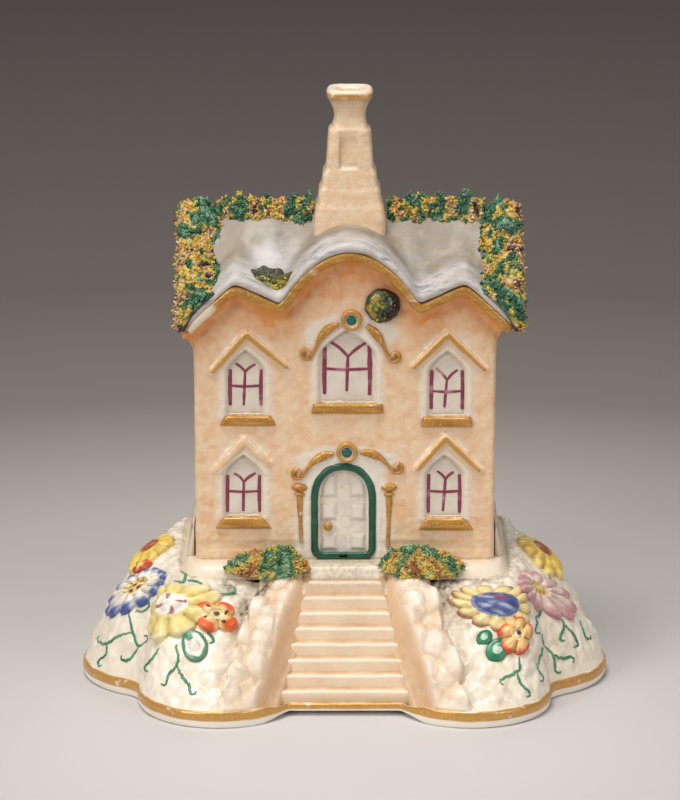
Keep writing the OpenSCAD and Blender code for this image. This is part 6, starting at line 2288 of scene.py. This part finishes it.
    @staticmethod
    def turned(skin: Skin, section: Array, place: Pair, **layers: Array) -> None:
        """Adds a turned boss on the front wall.

        Args:
            skin: the mesh that it joins.
            section: radius and distance out of the wall, one point to a row, from the middle of the front.
            place: its place across and its height.
            layers: painted values for each row.
        """
        turn = turns(48)
        r, out = section[:, :1], section[:, 1:]
        painted = {name: np.asarray(values)[:, None] for name, values in layers.items()}
        points = on_wall(place[0] + r * np.cos(turn), place[1] + r * np.sin(turn), out)
        skin.grid(points, ring=True, **painted)

    def roundels(self) -> None:
        """Roundels over the door and the middle window: a gilt bead, a cream field and a green jewel."""
        jewels = Skin()
        roses = (
            ("door_rose", "door_roundel", self.door_rose_at),
            ("window_rose", "middle_window_roundel", self.window_rose_at),
        )
        for name, node, place in roses:
            corners = np.array([
                (0.01, 0.75), (1.5, 0.7), (1.8, 1.25), (2.35, 1.3), (2.65, 0.8), (2.7, -0.4), (0.01, -0.4),
            ])
            section = spread(soften(corners, 0.35, 4), 44)
            gilt = ease(1.45, 1.7, section[:, 0]) * (section[:, 1] > -0.2)
            skin = Skin()
            hollow = 0.3 * ease(1.2, 1.6, section[:, 0])
            self.turned(skin, section, place, gilt=gilt, wash=np.full(gilt.shape, 0.3), hollow=hollow)
            skin.settle(name, WHITE, Body.COTTAGE, "gilding", node)
            dome = np.linspace(0.0, np.pi / 2, 16)
            jewel = np.stack([0.01 + 1.3 * np.sin(dome), 0.6 + 0.6 * np.cos(dome)], axis=1)
            jewel = np.concatenate([jewel, [(0.01, 0.5)]])
            # Painted highlight on the jewel's crown, painted shade towards its rim
            shade = np.linspace(0.0, 1.0, len(jewel))
            self.turned(jewels, jewel, place, paint=blend_tints(tint(44, 120, 104), tint(16, 66, 56), shade))
        jewels.settle("rose_jewels", STROKES, Body.COTTAGE, "green_enamel")

    def scrolls(self) -> None:
        """Leaf scrolls: a leaf that swells from the roundel, narrows and rolls into a curl."""
        pairs = (
            ("door_leaf_scrolls", "door_scrolls", (
                ((-2.9, 27.4), (-5.6, 26.9), (-8.4, 24.9), (-9.9, 22.6), (-10.9, 21.2)),
                ((3.9, 27.8), (6.4, 27.6), (9.2, 26.2), (11.0, 24.0), (12.2, 22.7)),
            )),
            ("window_leaf_scrolls", "middle_window_scrolls", (
                ((-1.5, 60.4), (-3.8, 59.6), (-6.0, 57.2), (-7.2, 54.3), (-8.6, 51.8)),
                ((5.3, 60.2), (7.2, 58.6), (9.0, 56.0), (10.2, 53.2), (11.4, 51.2)),
            )),
        )
        curl_samples = 30
        for name, node, leaves in pairs:
            skin = Skin()
            for points in leaves:
                side = np.sign(points[-1][0])
                line = curve_through(np.array(points), 40)
                end = line[-1]
                turn = np.linspace(-2.2, 3.4, curl_samples)
                radius = np.linspace(1.45, 0.5, curl_samples)
                middle = end + np.array([side * 0.9, 1.15])
                curl = middle + np.stack([side * radius * np.cos(turn), radius * np.sin(turn)], axis=1)
                whole = np.concatenate([line, curl])
                t = np.linspace(0.0, 1.0, len(whole))
                swell = 0.4 + 0.72 * bell(t - 0.17, 0.15) + 0.2 * ease(0.6, 0.85, t)
                path = on_wall(whole[:, 0], whole[:, 1], 0.3)[None]
                skin.tubes(path, swell[None], (0.55 + 0.25 * swell)[None], TOWARDS_FRONT, 14,
                           pale=0.5 * ease(0.82, 0.95, t)[None], hollow=0.2 * ease(0.35, 0.5, t)[None])
            skin.settle(name, GILT_SCROLL, Body.COTTAGE, "gilding", node)

    def door(self) -> None:
        """Door leaf: raised panels in three rows of two, the top pair arched, inside soft sunk borders."""
        v = np.linspace(0.0, 1.0, 130)[:, None]
        u = np.linspace(-1.0, 1.0, 84)[None, :]
        z = 0.2 + v * (self.door_h - 0.5)
        up = clamp((z - self.door_shoulder) / (self.door_h - self.door_shoulder))
        half = (self.door_half - 0.1) * (1.0 - up**self.arch_power) ** (1.0 / self.arch_power)
        x = self.door_middle + u * half
        across = x - self.door_middle
        panel = np.full(x.shape, -9.0)
        for low, high in self.panel_rows:
            box = np.minimum(np.minimum(z - low, high - z), 1.6 - np.abs(np.abs(across) - 3.55))
            panel = np.maximum(panel, box)
        panel = np.minimum(panel, self.door_inset(x, z) - 0.6)
        out = -self.leaf_in + 0.5 * ease(-0.6, 0.7, panel) + 0.05 * clouds(xyz(x, 0.0, z), 2.0, 161)
        # Painted shade round the panels, along the recess's sides and at its foot
        groove = bell(panel + 0.3, 0.35)
        hollow = 0.10 * groove + 0.2 * ease(0.85, 1.0, np.abs(u)) + 0.3 * ease(0.08, 0.0, v)
        skin = Skin()
        pillow(skin, x, z, out, -self.leaf_back, hollow=hollow, pale=0.5 * ease(0.2, 0.9, panel))
        skin.settle("panelled_door", WHITE, Body.COTTAGE, "white_glaze", "door_leaf")

    def door_band(self) -> None:
        """Green band round the door: a flat oval section carried along the sill, up, over and back."""
        half, top = self.door_half + self.band_half, self.door_h + self.band_half
        shoulder = self.door_shoulder
        turn = np.linspace(0.0, np.pi, 60)
        power = 2.0 / self.arch_power
        cosine, sine = np.cos(turn), np.sin(turn)
        arch_x = half * np.sign(cosine) * np.abs(cosine) ** power
        arch_z = shoulder + (top - shoulder) * np.abs(sine) ** power
        foot = self.band_half + 0.15
        right = soften(np.array([(-1.0, foot), (half, foot), (half, shoulder)]), 2.0, 6)
        left = right[::-1] * np.array([-1.0, 1.0])
        line = spread(np.concatenate([right[:-1], np.stack([arch_x, arch_z], axis=1), left[1:]]), 190)
        path = on_wall(line[:, 0] + self.door_middle, line[:, 1], 0.1)[None]
        wide = self.band_half * (1.04 + 0.14 * clouds(path, 4.0, 163, 2))
        paint = blend_tints(tint(20, 84, 62), tint(46, 116, 90), ease(0.0, 0.6, clouds(path, 3.0, 165, 2)))
        skin = Skin()
        skin.tubes(path, wide, 0.75, TOWARDS_FRONT, 14, paint=paint)
        skin.settle("green_door_arch", STROKES, Body.COTTAGE, "green_enamel", "door_frame")

    def knob(self) -> None:
        """Door knob: a turned ball on a short stem."""
        t = np.linspace(0.0, 2.6, 22)
        ball = np.stack([0.01 + self.knob_r * np.sin(t), -0.15 + 0.75 * np.cos(t)], axis=1)
        section = np.concatenate([ball, [(0.45, -1.2), (0.01, -1.2)]])
        skin = Skin()
        self.turned(skin, section, self.knob_at)
        skin.settle("turned_knob", GILT_SCROLL, Body.COTTAGE, "gilding", "door_knob")

    def pilasters(self) -> None:
        """Slim pilasters: an oval cap, a small bell below it and a shaft that tapers to the foot."""
        skin = Skin()
        neck = self.pilaster_neck
        for side, x, foot in self.pilaster_places:
            for z, wide, tall, swell in self.pilaster_caps:
                t = np.linspace(-1.0, 1.0, 24)
                path = on_wall(x + wide * t, z + 0.1 * side * t, 0.2)[None]
                oval = np.sqrt(np.clip(1.0 - t**2, 0.02, 1.0))[None]
                skin.tubes(path, tall * oval, swell * oval, TOWARDS_FRONT, 12)
            t = np.linspace(0.0, 1.0, 40)
            path = on_wall(x - 0.4 * side * t**2, neck + (foot - neck) * t, 0.15)[None]
            wide = (0.72 - 0.3 * t + 0.08 * np.sin(9.0 * t))[None]
            skin.tubes(path, wide, 0.5, TOWARDS_FRONT, 12, pale=0.4 * ease(0.7, 1.0, t)[None])
        skin.settle("slim_pilasters", GILT_SCROLL, Body.COTTAGE, "gilding", "door_pilasters")

    def foliage(
        self, node: str, seat: Callable, rise: Callable, tone: Callable, shreds: Shreds, middle: Array
    ) -> None:
        """Ivy: a crumbly core on a seat, with crumbs strewn over it.

        Args:
            node: the solid that it replaces.
            seat: what it sits on, at two parameters from 0 to 1.
            rise: how far the core stands off the seat, as vectors at the same parameters.
            tone: clumps from -1 to 1 at the same parameters.
            shreds: the crumbs on it.
            middle: a point below the core.
        """
        u = np.linspace(0.0, 1.0, 210)[:, None] ** 1.5
        v = np.linspace(0.0, 1.0, 56)[None, :]

        def sheet(u: Array, v: Array) -> Array:
            """Top of the core."""
            return seat(u, v) + rise(u, v)

        top, paint = shreds.core(sheet(u, v), tone(u, v), middle)
        low = seat(u, np.linspace(1.0, 0.0, 8)[None, :])
        paint = np.concatenate([paint, np.repeat(paint[:, -1:], low.shape[1], axis=1)], axis=1)
        skin = Skin()
        skin.capped(np.concatenate([top, low], axis=1), paint=paint)
        shreds.strew(skin, sheet, tone, middle)
        skin.settle(node + "_shreds", LEAFAGE, Body.COTTAGE, "foliage_clay", node)

    def ridge_ivy(self, side: float, node: str, lump_turn: float, seed: int) -> None:
        """Ivy along one half of the ridge, from the chimney to the gable's band.

        Args:
            side: -1 on the left, 1 on the right.
            node: the solid that it replaces.
            lump_turn: degrees that set its clumps.
            seed: picks its crumbs.
        """
        shape = self.roof_shape
        inner, outer = self.ridge_ivy_x

        def plan(u: Array, v: Array) -> tuple[Array, Array]:
            """Distance from the roof's middle and y."""
            u, v = np.broadcast_arrays(u, v)
            x = inner + (outer - inner) * u
            ragged = 0.56 + 0.5 * clouds(xyz(x, 0.0, 0.0), 3.0, seed + 3, 2)
            return x, shape.ridge_y + self.ridge_ivy_half * (2 * v - 1) * np.where(v < 0.5, ragged, 1.0)

        def seat(u: Array, v: Array) -> Array:
            """Roof below the band."""
            x, y = plan(u, v)
            x = shape.middle + side * x
            return to_part(xyz(x, y, shape.over(x, y) + 0.05))

        def tone(u: Array, v: Array) -> Array:
            """Clumps of the ivy."""
            x, y = plan(u, v)
            return 0.5 * lumps(60.0 * x + lump_turn, 70.0 * y) + 0.9 * clouds(xyz(x, y, 0.0), 5.5, seed, 2)

        def rise(u: Array, v: Array) -> Array:
            """Rounded back, cut off where the clumps leave bare clay."""
            tall = self.ivy_t * np.sin(np.pi * v) ** 0.8 * (0.85 + 2.0 * self.ivy_clump * tone(u, v))
            return xyz(0.0, 0.0, np.maximum(tall - 0.3, 0.3 * np.sin(np.pi * v)))

        middle = to_part(np.array([shape.middle + side * 20.0, shape.ridge_y, 78.0]))
        self.foliage(node, seat, rise, tone, Shreds(1100, seed), middle)

    def gable_ivy(self, side: float, node: str, lump_turn: float, seed: int) -> None:
        """Ivy along one gable's edge, laid over the roof's edge and hanging outside it.

        Args:
            side: -1 on the left, 1 on the right.
            node: the solid that it replaces.
            lump_turn: degrees that set its clumps.
            seed: picks its crumbs.
        """
        shape = self.roof_shape
        wide, hang = self.gable_ivy_w, self.gable_ivy_hang
        # Share of the band's width at which it passes the roof's edge
        edge = 0.7

        def run(u: Array) -> Array:
            """y along the band."""
            return shape.eave_y - 0.3 + (shape.back_y - 0.7 - shape.eave_y) * u

        def seat(u: Array, v: Array) -> Array:
            """Roof below the band, then the outside of the gable's edge."""
            u, v = np.broadcast_arrays(u, v)
            y = run(u)
            ragged = 3.4 * clouds(xyz(0.0, y, 0.0), 6.0, seed, 2) - 0.6
            on_roof = shape.half + 0.1 - (wide + ragged) * (1.0 - np.minimum(v / edge, 1.0))
            drop = hang * clamp((v - edge) / (1.0 - edge))
            held = shape.middle + side * np.minimum(on_roof, shape.half)
            z = shape.over(held, np.maximum(y, shape.eave_y)) + 0.05 - drop
            return to_part(xyz(shape.middle + side * on_roof, y, z))

        def tone(u: Array, v: Array) -> Array:
            """Clumps of the ivy."""
            y = run(u)
            outside = 0.45 * ease(0.55, 0.95, v)
            clumps = 0.9 * clouds(xyz(12.0 * v, y, 0.0), 5.5, seed, 2)
            return 0.5 * lumps(42.0 * y + lump_turn, 400.0 * v) + clumps - outside + 0.15 * ease(0.1, 0.0, u)

        def rise(u: Array, v: Array) -> Array:
            """Rounded back that bulges outside the edge."""
            swell = self.ivy_t * (1.0 - self.ivy_clump / 2 + self.ivy_clump * tone(u, v))
            round_end = rounding(np.maximum(1.0 - u / 0.05, 0.0))
            tall = np.maximum(swell * np.sin(np.pi * v) * np.where(v < edge, 1.0, 0.9) - 0.3, 0.1) * round_end
            out = hang * clamp((v - 0.5) / 0.5) ** 0.7 * (0.9 + 0.25 * tone(u, v)) * round_end
            return xyz(side * out, 0.0, tall * np.sin(np.pi * np.clip(v, 0.02, 0.98)) ** 0.2)

        middle = to_part(np.array([shape.middle + side * 30.0, shape.ridge_y, 50.0]))
        self.foliage(node, seat, rise, tone, Shreds(2500, seed, gathered=0.09), middle)

    def valley_ivy(self) -> None:
        """Small olive patch in the left valley, low and glossy."""
        shape = self.roof_shape
        x0, y0, half_x, tall = shape.middle - shape.arch_half - 2.0, 1.5, 4.8, 0.5
        before, behind = 3.7, 6.4

        def sheet(u: Array, v: Array) -> Array:
            """Low dome over an oval patch: u runs from the middle out, v runs round."""
            r = np.sqrt(u)
            ragged = 1.0 + 0.07 * np.sin(7.0 * v * TAU) * r
            x = x0 + half_x * r * ragged * np.cos(v * TAU)
            y = y0 + np.where(v < 0.5, behind, before) * r * ragged * np.sin(v * TAU)
            return to_part(xyz(x, y, shape.over(x, y) + 0.2 + tall * (1.0 - r**2)))

        def tone(u: Array, v: Array) -> Array:
            """Yellow in dabs at the front of the patch, dark green behind."""
            r, turn = np.sqrt(u), v * TAU
            dabs = clouds(xyz(5 * r * np.cos(turn), 5 * r * np.sin(turn), 0.0), 2.2, 64)
            return 0.7 * r * np.sin(turn) - 0.3 * r * np.cos(turn) + 0.9 * dabs

        middle = to_part(np.array([x0, y0, shape.over(np.array(x0), np.array(y0)) - 4.0]))
        olive = (
            tint(206, 182, 70), tint(158, 146, 54), tint(104, 108, 50), tint(72, 82, 48), tint(58, 70, 46),
        )
        chances = (0.14, 0.15, 0.2, 0.26, 0.25)
        shreds = Shreds(50, 63, (0.3, 0.6), (0.3, 0.5), olive, chances, 0.25, 1.6, 0.5, 0.85)
        skin = shreds.mound(sheet, tone, middle, np.array([0.0, 0.0, -0.8]))
        skin.settle("valley_ivy_shreds", GLOSSY_LEAFAGE, Body.COTTAGE, "foliage_clay", "valley_ivy")

    def tuft(self) -> None:
        """Dark mossy tuft beside the arch: a dome on the wall with glossy dabs."""
        x0, z0, radius, tall = 9.2, 65.1, 4.35, 2.4
        eave = self.roof_shape.eave_line

        def dome(u: Array, v: Array) -> Array:
            """Dome on the wall and cove: u runs from the middle out, v runs round."""
            r = np.sqrt(u)
            x = x0 + radius * r * np.cos(v * TAU)
            z = z0 + radius * r * np.sin(v * TAU)
            share = clamp(1.0 - (eave(x) - self.roof_gap - self.moulding_h - z) / self.cove_h)
            lean = self.cove_out * share**2
            return on_wall(x, z, lean + 0.1 + tall * rounding(r))

        middle = on_wall(x0, z0, -2.0)
        moss = (
            tint(44, 32, 22), tint(70, 54, 36), tint(56, 74, 48), tint(92, 112, 72), tint(142, 142, 72),
            tint(204, 166, 60),
        )

        def tone(u: Array, v: Array) -> Array:
            """Olive and yellow to the left, dark to the right and round the edge."""
            r, turn = np.sqrt(u), v * TAU
            dabs = clouds(xyz(4 * r * np.cos(turn), 4 * r * np.sin(turn), 0.0), 1.8, 66)
            return 1.4 * (1.0 - r**6) - 1.1 * r * np.cos(turn + 0.25) + 0.7 * dabs

        chances = (0.16, 0.12, 0.2, 0.22, 0.17, 0.13)
        shreds = Shreds(50, 65, (0.3, 0.7), (0.35, 0.55), moss, chances, 0.08, 2.0, 0.4, 0.6, dapple=0.25)
        skin = shreds.mound(dome, tone, middle, np.array([0.0, 1.0, 0.0]))
        skin.settle("mossy_tuft", GLOSSY_LEAFAGE, Body.COTTAGE, "dark_foliage", "facade_tuft")


def main() -> None:
    """Loads the frame, builds every sub-assembly and the studio."""
    logging.basicConfig(level=logging.INFO, format="%(name)s: %(message)s")
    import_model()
    sight = Sight()
    plan = Plan()
    garden = Garden(plan, sight)
    Base(plan, garden).build()
    garden.build()
    Pastille().build()
    Cottage().build()
    Studio(sight).build()


if __name__ == "__main__":
    main()
